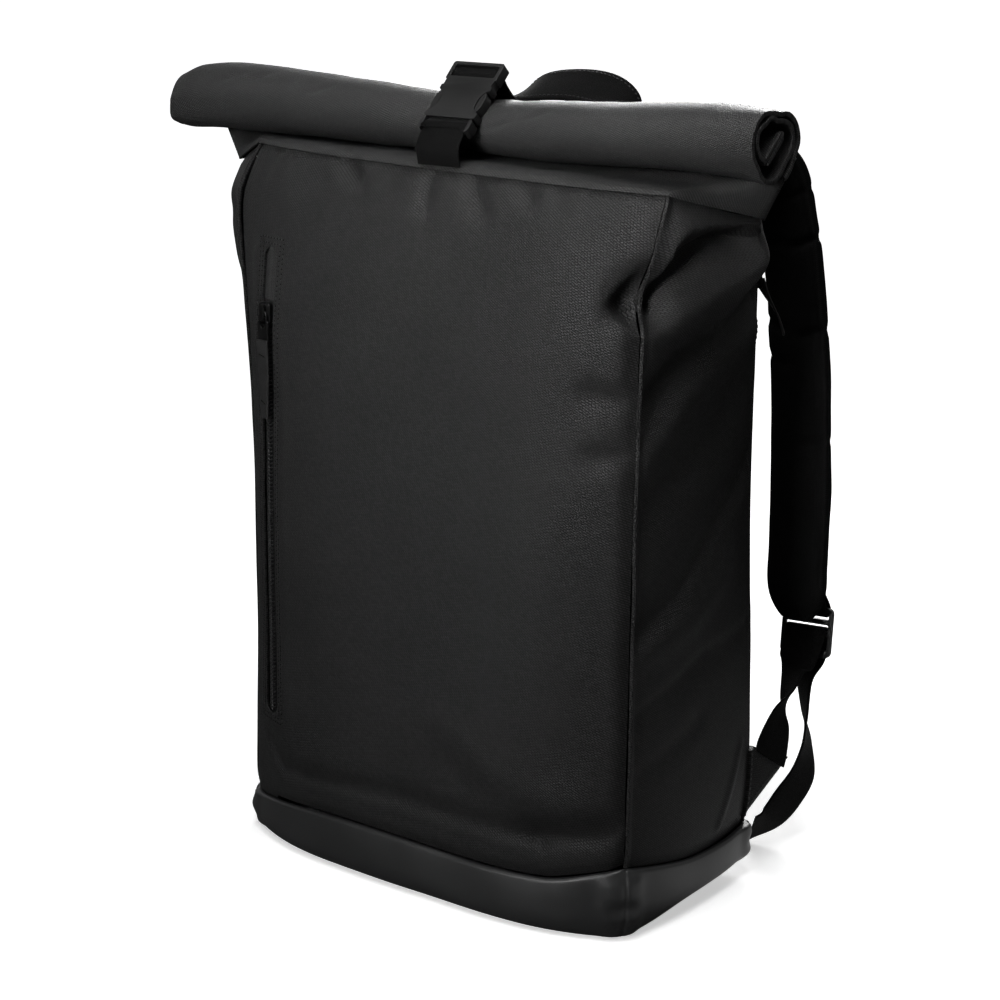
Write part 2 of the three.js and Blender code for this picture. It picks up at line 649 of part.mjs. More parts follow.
// A zip pull in a frame on its panel: slider on the chain, metal puller under its bridge, ribbon
function zipPull(prefix, frame, ribbonRows) {
  part.add(frame);
  const { half, low, high, thick, post, bridge, bar } = SLIDER;
  const [near, far] = SLIDER.legs;
  const slider = join(
    plate(rounded(-half, low, half, high, 2.5), thick),
    box(-post, -far, 1, post, -near, bridge),
    box(-post, near, 1, post, far, bridge),
    box(-post, -far, bridge - bar, post, far, bridge),
  );
  add(prefix + "_slider", slider, "metal", frame);
  const shape = rounded(-PULLER.half, PULLER.low, PULLER.half, PULLER.high, 1.6);
  for (const { half: reach, low: bottom, high: top, radius } of PULLER_HOLES) {
    shape.holes.push(rounded(-reach, bottom, reach, top, radius, Path));
  }
  add(prefix + "_puller", plate(shape, PULLER.thick).translate(0, 0, PULLER.out), "metal", frame);
  add(prefix + "_ribbon", band(ribbonRows, PULL_RIBBON.width, PULL_RIBBON.thick, 6), "webbing", frame);
}
const frontShare = acrossOfX(FRONT_ZIP.x, FRONT_ZIP.slider);
const onChain = TAPE.chain + GAP + SLIDER.thick / 2;
zipPull("zip", panelFrame("front", frontShare, FRONT_ZIP.slider, onChain), FRONT_RIBBON);
const sideShare = (SIDE_ZIP.from + SIDE_ZIP.to) / 2;
const onTape = SIDE_ZIP.thick + 2 * GAP + SLIDER.thick / 2;
zipPull("side_zip", panelFrame("back", sideShare, SIDE_ZIP.slider, onTape), SIDE_RIBBON);

// Closure buckle, in a frame with x across, y up its length and z outwards
const BUCKLE = { y: -59.2, z: 426, pitch: 45, half: 17.3, thick: 8 };
const PLUG = { thick: 4.4, barLow: 0, barHigh: 4, slotHigh: 7.4 };
const SOCKET = { low: 9.6, high: 47.6, cavity: 33, skin: 1.6, slotLow: 37.5, slotHigh: 43.6, bar: 2.8 };
const WINDOW = { radius: 6, y: 21, out: 1 }; // the cut in each flank where the plug's arms are pressed
const buckleFrame = new THREE.Group();
buckleFrame.position.set(CLOSURE_X, BUCKLE.y, BUCKLE.z);
buckleFrame.rotation.x = degToRad(90 - BUCKLE.pitch);
part.add(buckleFrame);
const slotHalf = CLOSURE_WEB / 2 + 0.5;

function plugShape() {
  const made = new Shape();
  const arm = table(
    ["inset", "y"],
    [
      [0, PLUG.barLow],
      [0, 8.8],
      [2.3, 9.2],
      [2.3, 12.5],
      [5.5, 15.5],
      [1.2, 21],
      [5, 27.5],
      [7.5, 27.5],
      [9.5, 17],
      [15.3, 14.5],
      [15.3, 27],
    ],
  );
  const right = arm.map(({ inset, y }) => new Vector2(BUCKLE.half - inset, y));
  const left = right.map(({ x, y }) => new Vector2(-x, y)).toReversed();
  made.setFromPoints([...right, ...left]);
  made.holes.push(rounded(-slotHalf, PLUG.barHigh, slotHalf, PLUG.slotHigh, 0.8, Path));
  return made;
}
add("buckle_plug", plate(plugShape(), PLUG.thick), "plastic", buckleFrame);

function socketGeometry() {
  const { low, high, cavity, skin, slotLow, slotHigh, bar } = SOCKET;
  const shape = rounded(-BUCKLE.half, low, BUCKLE.half, high, 3);
  shape.holes.push(rounded(-slotHalf, slotLow, slotHalf, slotHigh, 0.8, Path));
  const deep = BUCKLE.thick / 2;
  const reach = BUCKLE.half - 1.8;
  const window = new THREE.CylinderGeometry(WINDOW.radius, WINDOW.radius, 3 * deep, 8).rotateX(Math.PI / 2);
  const flank = BUCKLE.half + WINDOW.out;
  return cut(
    plate(shape, BUCKLE.thick, 0.8),
    box(-reach, low - 1, skin - deep, reach, cavity, deep - skin),
    box(-slotHalf, slotHigh - 1, bar, slotHalf, high + 1, deep + 1),
    box(-slotHalf, slotHigh - 1, -deep - 1, slotHalf, high + 1, -bar),
    window.clone().translate(flank, WINDOW.y, 0),
    window.clone().translate(-flank, WINDOW.y, 0),
  );
}
add("buckle_socket", socketGeometry(), "plastic", buckleFrame);

// A turn of webbing round a bar at a height in a frame: 0 degrees is above the bar and 90 in front of it.
// The rows are in the part's frame, and way is the sense of the width along the frame's x.
function turnRows(frame, y, radius, fromDegrees, toDegrees, steps, way = 1) {
  frame.updateMatrixWorld(true);
  return spaced(fromDegrees, toDegrees, steps).map((degrees) => {
    const angle = degToRad(degrees);
    const at = new Vector3(0, y + radius * Math.cos(angle), radius * Math.sin(angle));
    const side = new Vector3(way, 0, 0).transformDirection(frame.matrixWorld);
    const [x, y1, z] = at.applyMatrix4(frame.matrixWorld);
    return { x, y: y1, z, sideX: side.x, sideY: side.y, sideZ: side.z };
  });
}

// Closure webbing: a short strap from the collar seam round the plug's bar, and a long one from the socket's
// bar over the roll to the back
const footZ = SEAM_HEIGHT - 5;
const footY = frontPoint(acrossOfX(CLOSURE_X, footZ), footZ).y - 3 * GAP - WEB / 2;
const STRAP_FOOT = table(SWEEP, [
  [CLOSURE_X, footY, footZ, 1, 0, 0],
  [CLOSURE_X, footY - 1, footZ + 10, 1, 0, 0],
]);
const plugReach = PLUG.thick / 2 + WEB / 2 + 3 * GAP;
const plugTurn = turnRows(buckleFrame, (PLUG.barLow + PLUG.barHigh) / 2, plugReach, 150, -70, 7);
add("strap_lower", band([...STRAP_FOOT, ...plugTurn], CLOSURE_WEB, WEB, 22), "webbing");

const socketReach = SOCKET.bar + WEB / 2 + 2.5 * GAP;
const socketTurn = turnRows(buckleFrame, (SOCKET.slotHigh + SOCKET.high) / 2, socketReach, 165, -15, 6);
const overRoll = spaced(60, 20, 2).map((degrees) => {
  const { x, y, z } = rollPoint(CLOSURE_X, degrees, ROLL_PLIES / 2 + 6 * GAP + WEB / 2);
  return { x, y, z, sideX: 1, sideY: 0, sideZ: 0 };
});
const backTop = backPoint(0.5, SEAM_HEIGHT).y;
const STRAP_TAIL = table(SWEEP, [
  [CLOSURE_X, backTop - 25, SEAM_HEIGHT + 12, 1, 0, 0],
  [CLOSURE_X, backTop - 2, SEAM_HEIGHT + 7, 1, 0, 0],
  [CLOSURE_X, backTop + 5, SEAM_HEIGHT - 2, 1, 0, 0],
  [CLOSURE_X, backTop + 7.6, SEAM_HEIGHT - 22, 1, 0, 0],
]);
add("strap_upper", band([...socketTurn, ...overRoll, ...STRAP_TAIL], CLOSURE_WEB, WEB, 33), "webbing");
add("grab_handle", band(HANDLE, HANDLE_WEB, WEB + 0.5, 24), "webbing");

// Shoulder straps with their adjusters and webbing, the left set a mirror of the right
// The lower end of a strap closes over its last steps to these shares.
const STRAP_END = { steps: 3, width: 0.46, thick: 0.45 };
function shoulderGeometry() {
  const frames = sweepFrames(SHOULDER, 27);
  const section = spaced(0, 2 * Math.PI, 10).slice(0, -1);
  const power = (value, p) => Math.sign(value) * Math.abs(value) ** p;
  const rings = frames.map((frame, i) => {
    const left = Math.min((frames.length - 1 - i) / STRAP_END.steps, 1);
    const width = (STRAP_WIDTH / 2) * Math.sqrt(1 - (1 - STRAP_END.width ** 2) * (1 - left) ** 2);
    const thick = (STRAP_THICK / 2) * lerp(STRAP_END.thick, 1, left);
    return section.map((angle) =>
      framePoint(frame, width * power(Math.cos(angle), 0.45), thick * power(Math.sin(angle), 0.7)),
    );
  });
  return loft(rings);
}

const adjusterFrame = new THREE.Group();
adjusterFrame.position.fromArray(ADJUSTER.at);
adjusterFrame.rotation.set(degToRad(90 - ADJUSTER.lean), 0, degToRad(ADJUSTER.turn), "ZXY");

function adjusterGeometry() {
  const [w, h] = [ADJUSTER.width / 2, ADJUSTER.height / 2];
  const slot = STRAP_WEB / 2 + 0.8;
  const shape = rounded(-w, -h, w, h, 3.5);
  ADJUSTER_SLOTS.forEach(({ low, high }) => shape.holes.push(rounded(-slot, low, slot, high, 0.8, Path)));
  adjusterFrame.updateMatrixWorld(true);
  return plate(shape, ADJUSTER.thick).applyMatrix4(adjusterFrame.matrixWorld);
}

const [topSlot, midSlot, lowSlot] = ADJUSTER_SLOTS;
const strandReach = ADJUSTER.thick / 2 + WEB / 2 + 3 * GAP;
const lockTurn = turnRows(adjusterFrame, (midSlot.low + lowSlot.high) / 2, strandReach, 110, -110, 4, -1);
const topBar = (topSlot.high + ADJUSTER.height / 2) / 2;
const tabTurn = turnRows(adjusterFrame, topBar, strandReach, 75, 285, 4, -1);

function wingGeometry() {
  const root = (z) => PANELS.right.point(1, z).addScaledVector(seamOffset("right", 1, z), WING.clear);
  const corners = [root(WING.high), root(WING.low), new Vector3(...WING.tip)];
  const [up, out] = [corners[0], corners[2]].map((p) => p.clone().sub(corners[1]));
  const flat = up.cross(out).setLength(WING.thick / 2);
  return loft([1, -1].map((side) => corners.map((p) => p.clone().addScaledVector(flat, side))));
}

const strapSet = {
  shoulder_strap: [shoulderGeometry(), "padded"],
  strap_tab: [band([...TAB_DOWN, ...tabTurn, ...TAB_UP], STRAP_WEB, WEB, 24), "webbing"],
  adjuster: [adjusterGeometry(), "plastic"],
  webbing: [band([...LOAD_STRAND, ...lockTurn, ...TAIL], STRAP_WEB, WEB, 48), "webbing"],
  wing: [wingGeometry(), "cloth"],
};
for (const [name, [geometry, look]] of Object.entries(strapSet)) {
  add(name + "_right", geometry, look);
  add(name + "_left", fromManifold(toManifold(geometry).mirror([1, 0, 0])), look);
}

export default part;
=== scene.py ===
import math
from contextlib import contextmanager

import bpy
import numpy as np
from mathutils import Matrix, Vector


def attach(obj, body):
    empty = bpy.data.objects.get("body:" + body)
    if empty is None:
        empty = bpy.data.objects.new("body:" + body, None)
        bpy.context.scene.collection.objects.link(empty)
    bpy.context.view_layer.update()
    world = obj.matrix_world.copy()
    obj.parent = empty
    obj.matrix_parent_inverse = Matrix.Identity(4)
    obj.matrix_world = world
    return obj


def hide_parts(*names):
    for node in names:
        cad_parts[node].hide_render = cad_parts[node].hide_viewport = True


# A black roll-top backpack: twill panels on a coated boot, rolled and buckled mouth, zips, handle, straps.
# The tables are in millimetres, as the part's own are, and the meshes in metres.
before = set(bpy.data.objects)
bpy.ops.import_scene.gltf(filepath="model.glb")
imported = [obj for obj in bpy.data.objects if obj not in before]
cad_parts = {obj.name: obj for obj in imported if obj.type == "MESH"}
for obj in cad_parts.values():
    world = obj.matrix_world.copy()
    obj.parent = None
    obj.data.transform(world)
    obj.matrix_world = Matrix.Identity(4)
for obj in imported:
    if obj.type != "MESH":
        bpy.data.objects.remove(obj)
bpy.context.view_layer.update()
bpy.ops.object.select_all(action="DESELECT")
MM = 0.001

# Camera at the photograph's angle
bpy.ops.object.camera_add(
    location=(0.8255, -1.0487, 0.5705), rotation=(math.radians(75.03), 0, math.radians(38.26))
)
camera = bpy.context.object
camera.data.sensor_width = 36
camera.data.lens = 86.5
bpy.context.scene.camera = camera

# Sizes of the bag
GAP = 0.4
SEAM_CLEAR = 0.3
CLOTH = 1.2
SEAM_HEIGHT = 411
FRONT_SPAN = 270
SIDE_SPAN = 125
PANEL_HEIGHT = 375
LEFT_HALF = 138
SEAM_FADE = 8
EAR_POWER = 1.15
EAR_DEPTH = {"right": 0.5, "left": 0.28}
WEB = 1.5
STRAP_WEB = 25
CLOSURE_WEB = 29
CLOSURE_X = 8
HANDLE_WEB = 30
FRONT_ZIP = {"x": -111, "low": 82, "high": 357, "slot": 6.4, "slider": 321, "window": 329}
SIDE_ZIP = {"middle": 0.031, "half": 5.1, "low": 135, "high": 385, "slider": 360}

# Pull of the right front seam under the ear: how far in and back, the heights it fades between, and its reach
PULL_IN, PULL_BACK = 8.5, 7
PULL = {"low": 334, "full": 349, "high": 382, "fade": 30, "reach": 24, "spread": 26}
# Dimple beside that seam: its depth, and a point and the way across for its upper and its lower edge
DIMPLE_DEPTH = 9
DIMPLE_UPPER = (268.6, 374, 0.853, -0.524)
DIMPLE_LOWER = (255.4, 352.5, 0.478, 0.879)

# Body: z, leftX, rightX, frontY, backHalf, backY, frontBulge, sideBulge, backBulge,
# earRight, earLeft, drop, lean
SECTIONS = [
    (20, -142, 133, -61, 133, 59, 25, 6, 5, 0, 0, 0, 0),
    (66, -138.5, 134, -63, 134, 62, 26, 8, 6, 0, 0, 0, 0),
    (130, -136.5, 135, -63, 132, 63, 26, 8, 6, 0, 0, 0, 0),
    (220, -136, 136, -63, 129, 64, 25, 8, 6, 0, 0, 0, 0),
    (305, -140, 136.5, -61, 130, 63, 21, 6, 6, 3, 12, 0, 0),
    (348, -145, 137, -59, 132, 60, 17, 3, 5, 16, 38, 4, 1),
    (382, -147, 141, -56, 133, 54, 13, 1, 4, 34, 43, 10, 2.5),
    (411, -136, 145, -50, 134, 48, 11, 0, 3, 29, 43, 16, 3.5),
]

# Folds: panel, rise, width above and below, and the points it runs through as shares across and heights
FOLDS = [
    ("front", 2.5, 24, 24, [(0.95, 323), (0.8, 377)]),
    ("front", 2, 28, 28, [(0.12, 305), (0.5, 397)]),
    ("front", -2.5, 9, 3.5, [(0.1, 60), (0.15, 49), (0.46, 55.5), (0.63, 54.5), (0.84, 54)]),
    ("front", -4, 10, 6, [(0.84, 54), (0.91, 58.5), (0.96, 60.5), (1, 63)]),
    ("front", 2.5, 14, 14, [(0.64, 108), (0.8, 82), (0.9, 78)]),
    ("front", -3.8, 4, 5, [(0.27, 408), (0.32, 399)]),
    ("front", -2.8, 5, 5, [(0.49, 408), (0.51, 388)]),
    ("front", -2.8, 5, 5, [(0.58, 408), (0.64, 390)]),
    ("front", -2.2, 4, 4, [(0.7, 409), (0.74, 398)]),
    ("front", -2.8, 7, 7, [(0.985, 300), (0.92, 303)]),
    ("front", -2.8, 7, 7, [(0.985, 272), (0.93, 270)]),
    ("right", 5.5, 8, 4, [(0.45, 408), (0.3, 403.5), (0.19, 400), (0.1, 395), (0.05, 385), (0.03, 368)]),
    ("right", -12, 5, 13, [(0.38, 396), (0.26, 391), (0.17, 382), (0.11, 370), (0.05, 352)]),
    ("right", 4.5, 8, 13, [(0.03, 340), (0.27, 350), (0.42, 367), (0.5, 384)]),
    ("right", -5.5, 10, 12, [(0.04, 293), (0.27, 317), (0.47, 330), (0.8, 343), (0.95, 347)]),
    ("right", 2.5, 11, 12, [(0.05, 270), (0.3, 295), (0.6, 312), (0.9, 322)]),
    ("right", -2, 10, 14, [(0.08, 246), (0.35, 262), (0.7, 290)]),
    ("right", 2.5, 8, 12, [(0.02, 163), (0.37, 173), (0.7, 196)]),
    ("right", -3.5, 16, 7, [(0.04, 174), (0.29, 190), (0.6, 222), (0.9, 242)]),
    ("right", -1.6, 6, 9, [(0.05, 128), (0.5, 148), (0.9, 152)]),
    ("right", 1.1, 3.5, 3.5, [(0.66, 42), (0.84, 84)]),
    ("right", -1.2, 7, 7, [(0.1, 95), (0.45, 112)]),
    ("left", -8, 12, 12, [(0.8, 373), (0.92, 335)]),
    ("left", 4, 15, 15, [(0.8, 323), (0.2, 357)]),
    ("left", -4, 15, 15, [(0.88, 291), (0.25, 335)]),
]

# Boot seam: height at shares across each panel
BOOT_SEAM = {
    "front": [(0, 21), (0.14, 27.5), (0.33, 32), (0.84, 32), (0.96, 39), (1, 42)],
    "right": [(0, 42), (0.22, 36.5), (0.5, 31), (1, 30)],
    "back": [(0, 30), (1, 30)],
    "left": [(0, 30), (0.6, 29), (1, 21)],
}

# Roll: x, y, z, half depth, half height
ROLL = [
    (-212, -29, 432, 18, 15),
    (-198, -30, 434, 20.5, 17.8),
    (-165, -31, 435, 21, 18.4),
    (-110, -32, 433.8, 21, 17.7),
    (-46, -33, 432, 20.5, 16),
    (-18, -31, 430.6, 18.8, 14.8),
    (8, -29, 429.8, 17.4, 13.4),
    (34, -30.5, 430, 19, 14.4),
    (64, -32, 430.6, 20.4, 15.4),
    (120, -32, 432.5, 21, 16),
    (180, -31, 433.6, 21, 18),
    (195, -30.5, 433, 20, 17.8),
]
ROLL_ENDS = (ROLL[0][0], ROLL[-1][0])
ROLL_START = -60
MOUTH_TURN = 585
MOUTH_CLOTH = 300
ROLL_GROWTH = 0.25
ROLL_OUTER = 1.12
ROLL_PLIES = 2.4
# Creases across the roll's front: x, angle, depth, width
ROLL_CREASES = [
    (-163, 130, 1.8, 3.5),
    (-145, 124, 2.0, 4.5),
    (-92, 138, 1.2, 4),
    (60, 140, 1.2, 4),
    (36, 165, 1.4, 4),
]
COLLAR_ENDS = (-197, 194)
BACK_PLY_ANGLE = -22
COLLAR_ROWS = 26
COLLAR_CLOTH = 400

# Sweeps: x, y, z and the direction of the width
SHOULDER = [
    (78, 67.5, 366, 1, 0, 0),
    (79, 68, 396, 1, 0, 0),
    (90, 90, 419, 1, -0.1, 0),
    (101.5, 113, 406, 1, -0.25, 0),
    (109, 123, 372, 1, -0.4, 0),
    (115, 125, 335, 1, -0.46, 0),
    (121, 124, 285, 1, -0.46, 0),
    (126, 120.5, 220, 1, -0.46, 0),
    (128.5, 115, 166, 1, -0.46, 0),
    (130.2, 111.7, 139.8, 1, -0.46, 0),
]
HANDLE = [
    (-42, 59.5, 389, 1, 0, 0),
    (-43, 57.5, 411, 1, 0, 0.1),
    (-45, 60, 428, 0.8, 0.5, 0.3),
    (-28, 63, 441.5, 0.3, 0.84, 0.5),
    (3, 64, 445.5, 0, 0.86, 0.5),
    (28, 63, 442, -0.3, 0.84, 0.5),
    (45, 60, 430, -0.8, 0.5, 0.3),
    (44, 57.5, 411, -1, 0, 0.1),
    (43, 59.5, 389, -1, 0, 0),
]
LOAD_STRAND = [
    (139, 74.5, 65.5, 0.26, 0.87, -0.42),
    (137.6, 79.6, 71.5, 0.26, 0.87, -0.42),
    (135.5, 91, 84, -0.05, 0.9, -0.4),
    (133.2, 101, 95, -0.6, 0.78, -0.1),
    (131, 111, 107, -0.8, 0.55, 0),
    (131.5, 114.5, 115, -0.98, 0, 0),
]
TAIL = [
    (130, 128, 115, -0.98, -0.05, 0),
    (129.5, 126, 100, -0.8, 0.58, 0),
    (133.3, 122, 77, -0.6, 0.8, 0),
    (136.3, 119.8, 60, -0.3, 0.95, -0.1),
    (137.3, 114.3, 43.5, 0.1, 0.9, -0.42),
    (132.5, 107, 30, 0.2, 0.82, -0.53),
    (126.5, 99.5, 18.5, 0.1, 0.82, -0.55),
    (118, 91, 11.6, -0.1, 0.82, -0.55),
]
TAB_DOWN = [(130.8, 123.2, 178, -0.906, 0.42, 0), (131.9, 121.7, 161, -0.906, 0.42, 0)]
TAB_UP = [(133, 124.2, 161, -0.906, 0.42, 0), (132.1, 125.5, 172, -0.906, 0.42, 0)]
FRONT_RIBBON = [
    (0, -15.5, 3.8, 1, 0, 0),
    (0, -26, 3.4, 1, 0, 0.05),
    (-0.4, -44, 2.6, 0.95, 0, 0.2),
    (-1, -61, 2, 0.9, 0, 0.35),
]
SIDE_RIBBON = [
    (0, -14.5, 4.6, 1, 0, 0),
    (-3, -24, 6, 0.9, 0, 0.4),
    (-7, -36, 9, 0.7, 0, 0.7),
    (-9, -47, 10.5, 0.62, 0, 0.78),
]
STRAP_WIDTH = 56
STRAP_THICK = 10
ADJUSTER = {"at": (132, 123.3, 130), "turn": 10, "lean": 8, "thick": 3.2}
BUCKLE = {"at": (CLOSURE_X - 1, -59.6, 428.4), "pitch": 45, "bar": 41.5, "plug_bar": 4.6}
WING = {"low": 27, "high": 76, "tip": (142, 90, 63)}


# Curves and noise
def lerp(a, b, t):
    return a + (b - a) * t


def ease(t):
    return t * t * (3 - 2 * t)


def smooth(value, low, high):
    return ease(np.clip((value - low) / (high - low), 0, 1))


def bump(distance, width):
    return np.exp(-((distance / width) ** 2))


def smooth_table(rows):
    """A smooth curve through rows, by the value of their first column."""
    rows = np.array(rows, float)
    keys = rows[:, 0]
    order = np.arange(len(rows))
    after, before = np.minimum(order + 1, len(rows) - 1), np.maximum(order - 1, 0)
    slopes = (rows[after] - rows[before]) / (keys[after] - keys[before])[:, None]

    def at(value):
        value = np.asarray(value, float)
        i = np.clip(np.searchsorted(keys, value) - 1, 0, len(keys) - 2)
        span = (keys[i + 1] - keys[i])[..., None]
        u = np.clip((value - keys[i])[..., None] / span, 0, 1)
        start = (1 - ease(u)) * rows[i] + u * (1 - u) ** 2 * span * slopes[i]
        return start + ease(u) * rows[i + 1] + u * u * (u - 1) * span * slopes[i + 1]

    return at


DRIFT_CELLS, DRIFT_SHIFT = 61, 300


def drift(x, y, cell, seed):
    """Smooth seeded noise from -1 to 1, with forms about a cell across."""
    cells = DRIFT_CELLS
    lattice = np.random.default_rng(seed).uniform(-1, 1, (cells, cells))
    gx, gy = np.asarray(x) / cell + DRIFT_SHIFT, np.asarray(y) / cell + DRIFT_SHIFT
    i, j = np.floor(gx).astype(int), np.floor(gy).astype(int)
    fx, fy = ease(gx - i), ease(gy - j)
    i, j, next_i, next_j = i % cells, j % cells, (i + 1) % cells, (j + 1) % cells
    low = lerp(lattice[i, j], lattice[next_i, j], fx)
    high = lerp(lattice[i, next_j], lattice[next_i, next_j], fx)
    return lerp(low, high, fy)


def unit(vectors):
    return vectors / np.maximum(np.linalg.norm(vectors, axis=-1, keepdims=True), 1e-9)


def stack(x, y, z):
    return np.stack(np.broadcast_arrays(x, y, z), axis=-1).astype(float)


# Body surface
body_rows = smooth_table(SECTIONS)
roll_rows = smooth_table(ROLL)


def body(z):
    return np.moveaxis(body_rows(z), -1, 0)


def seam_pull(z, away):
    """How far the right front seam is pulled in under the ear, fading with the distance away from it."""
    rising = smooth(z, PULL["low"], PULL["full"]) * smooth(PULL["high"] - z, 0, PULL["fade"])
    return rising * smooth(PULL["reach"] - away, 0, PULL["spread"])


def fold_height(panel, across, z, span):
    """The rise of a panel's folds, each by its distance from the line that the fold runs along."""
    x, z = np.broadcast_arrays(np.asarray(across * span, float), np.asarray(z, float))
    height = np.zeros(x.shape)
    for name, rise, above, below, points in FOLDS:
        if name == panel:
            nearest, over = np.full(x.shape, 1e9), np.zeros(x.shape)
            for (a0, z0), (a1, z1) in zip(points, points[1:]):
                run, climb = (a1 - a0) * span, z1 - z0
                dx, dz = x - a0 * span, z - z0
                share = np.clip((dx * run + dz * climb) / (run**2 + climb**2), 0, 1)
                apart = np.hypot(dx - share * run, dz - share * climb)
                nearer = apart < nearest
                nearest = np.where(nearer, apart, nearest)
                offset = (dz * run - dx * climb) * np.sign(run) / math.hypot(run, climb)
                over = np.where(nearer, offset, over)
            height += rise * bump(nearest, lerp(below, above, smooth(over, -3, 3)))
    return height * smooth(np.minimum(across, 1 - across) * span, 0, SEAM_FADE)


def crown(across, power):
    return 1 - np.abs(2 * across - 1) ** power


def front_point(across, z):
    _, left, right, front_y, _, _, bulge, _, _, _, _, _, lean = body(z)
    x = lerp(left, right, across)
    out = bulge * crown(across, 4) + fold_height("front", across, z, FRONT_SPAN)
    pull = seam_pull(z, (1 - across) * FRONT_SPAN)
    return stack(x - PULL_IN * pull, front_y - out + PULL_BACK * pull, z - lean * x / right)


def side_point(side, depth, z):
    """A side panel from its front seam to its back seam; side is 1 for the right and -1 for the left."""
    _, left, right, front_y, back_half, back_y, _, bulge, _, ear_right, ear_left, drop, lean = body(z)
    if side > 0:
        name, seam, ear, across = "right", right, ear_right, depth
    else:
        name, seam, ear, across = "left", -left, ear_left, 1 - depth
    peak = EAR_DEPTH[name]
    pinch = 1 - np.abs((depth - peak) / np.where(depth < peak, peak, 1 - peak)) ** EAR_POWER
    out = lerp(seam, back_half, depth) + bulge * crown(depth, 2.5) + ear * pinch
    pull = seam_pull(z, depth * SIDE_SPAN) if side > 0 else 0
    out = out + fold_height(name, across, z, SIDE_SPAN) - PULL_IN * pull
    y = lerp(front_y, back_y, depth) + PULL_BACK * pull
    return stack(side * out, y, z - drop * pinch - lean * side * seam / right)


def back_point(across, z):
    _, _, right, _, back_half, back_y, _, _, bulge, _, _, _, lean = body(z)
    x = lerp(back_half, -back_half, across)
    return stack(x, back_y + bulge * crown(across, 4), z - lean * x / right)


def right_point(across, z):
    return side_point(1, across, z)


def left_point(across, z):
    return side_point(-1, 1 - across, z)


PANEL_POINT = {"front": front_point, "right": right_point, "back": back_point, "left": left_point}
PANEL_SPAN = {"front": FRONT_SPAN, "right": SIDE_SPAN, "back": FRONT_SPAN, "left": SIDE_SPAN}
PANEL_ORDER = ["front", "right", "back", "left"]


def normals(point, across, z):
    a0, a1 = np.clip(across - 0.004, 0, 1), np.clip(across + 0.004, 0, 1)
    z0, z1 = np.clip(z - 1, SECTIONS[0][0], SEAM_HEIGHT), np.clip(z + 1, SECTIONS[0][0], SEAM_HEIGHT)
    return unit(np.cross(point(a1, z) - point(a0, z), point(across, z1) - point(across, z0)))


boot_rows = {panel: smooth_table(rows) for panel, rows in BOOT_SEAM.items()}


def boot_top(panel, across):
    return boot_rows[panel](across)[..., 1]


def across_of_x(x, z):
    _, left, right, *_ = body(z)
    return (x - left) / (right - left)


def past(edge, x, z):
    """How far a place on a panel lies past a line, given by one of its points and the way across it."""
    at_x, at_z, way_x, way_z = edge
    return (x - at_x) * way_x + (z - at_z) * way_z


def slot_half(z):
    """Half width of the zip's slot, with round ends."""
    slot = FRONT_ZIP["slot"]
    end = np.minimum(z - FRONT_ZIP["low"], FRONT_ZIP["high"] - z)
    return slot * np.sqrt(np.clip(1 - (1 - np.clip(end / slot, 0, 1)) ** 2, 0.0025, 1))


# Cloth relief: seams that sink, gathers, and the slack of each panel
def front_slack(across, z):
    """The broad waves of the front, which the zip in its slot follows."""
    return 0.9 * drift(across * FRONT_SPAN, z, 75, 1)


def front_relief(across, z):
    x = across * FRONT_SPAN
    left_edge, right_edge = x, FRONT_SPAN - x
    top, low = SEAM_HEIGHT - z, z - boot_top("front", across)
    gathers = 1.3 * drift(x, z * 0.2, 9, 3) * np.exp(-top / 13)
    slack = front_slack(across, z) + 0.35 * drift(x + z, z - x, 28, 2)
    valley = lerp(1.2, 4.2, smooth(360 - z, 0, 30))
    seams = -1.5 * bump(left_edge, 2.6) - valley * bump(right_edge, 4.5)
    seams = seams - 1.6 * bump(top, 3.5) - 1.6 * bump(low, 4)
    pulled = smooth(past(DIMPLE_UPPER, x, z), -3, 10) * smooth(past(DIMPLE_LOWER, x, z), -8, 4)
    dimple = -DIMPLE_DEPTH * pulled * smooth(right_edge, -4, 9)
    zip_x = FRONT_ZIP["x"] + LEFT_HALF
    beside = np.abs(x - zip_x) - slot_half(z)
    along = smooth(z, FRONT_ZIP["low"] - 6, FRONT_ZIP["low"]) * smooth(FRONT_ZIP["high"] + 6 - z, 0, 6)
    placket = along * (0.5 * bump(beside - 3, 3) - 0.3 * bump(beside, 1.2))
    return gathers + slack + seams + dimple + placket


def side_relief(panel, across, z, seed):
    x = across * SIDE_SPAN
    fore = x if panel == "right" else SIDE_SPAN - x
    aft = SIDE_SPAN - fore
    top, low = SEAM_HEIGHT - z, z - boot_top(panel, across)
    lip = 1.5 * bump(fore - 1.6, 1.7) - 0.9 * bump(fore, 0.7)
    seams = -1.4 * bump(aft, 2.6) - 1.2 * bump(top, 3) - 2 * bump(low, 7)
    slack = 0.9 * drift(fore * 0.8 + z * 0.6, z * 0.8 - fore * 0.6, 46, seed)
    crease = 0.7 * drift(fore * 0.7 - z * 0.7, (fore + z) * 0.25, 17, seed + 1) * smooth(z, 200, 330)
    return lip + seams + slack + crease


def right_relief(across, z):
    return side_relief("right", across, z, 11)


def left_relief(across, z):
    return side_relief("left", across, z, 15)


def back_relief(across, z):
    x = across * FRONT_SPAN
    edge = np.minimum(x, FRONT_SPAN - x)
    ends = np.minimum(SEAM_HEIGHT - z, z - boot_top("back", across))
    pad = 3.5 * smooth(edge, 4, 26) * smooth(ends, 2, 26)
    channels = -3.2 * (bump(x - 92, 5) + bump(x - 178, 5)) * smooth(ends, 10, 34)
    return pad + channels - 1.4 * bump(edge, 2.6) + 0.3 * drift(x, z, 30, 21)


PANEL_RELIEF = {"front": front_relief, "right": right_relief, "back": back_relief, "left": left_relief}


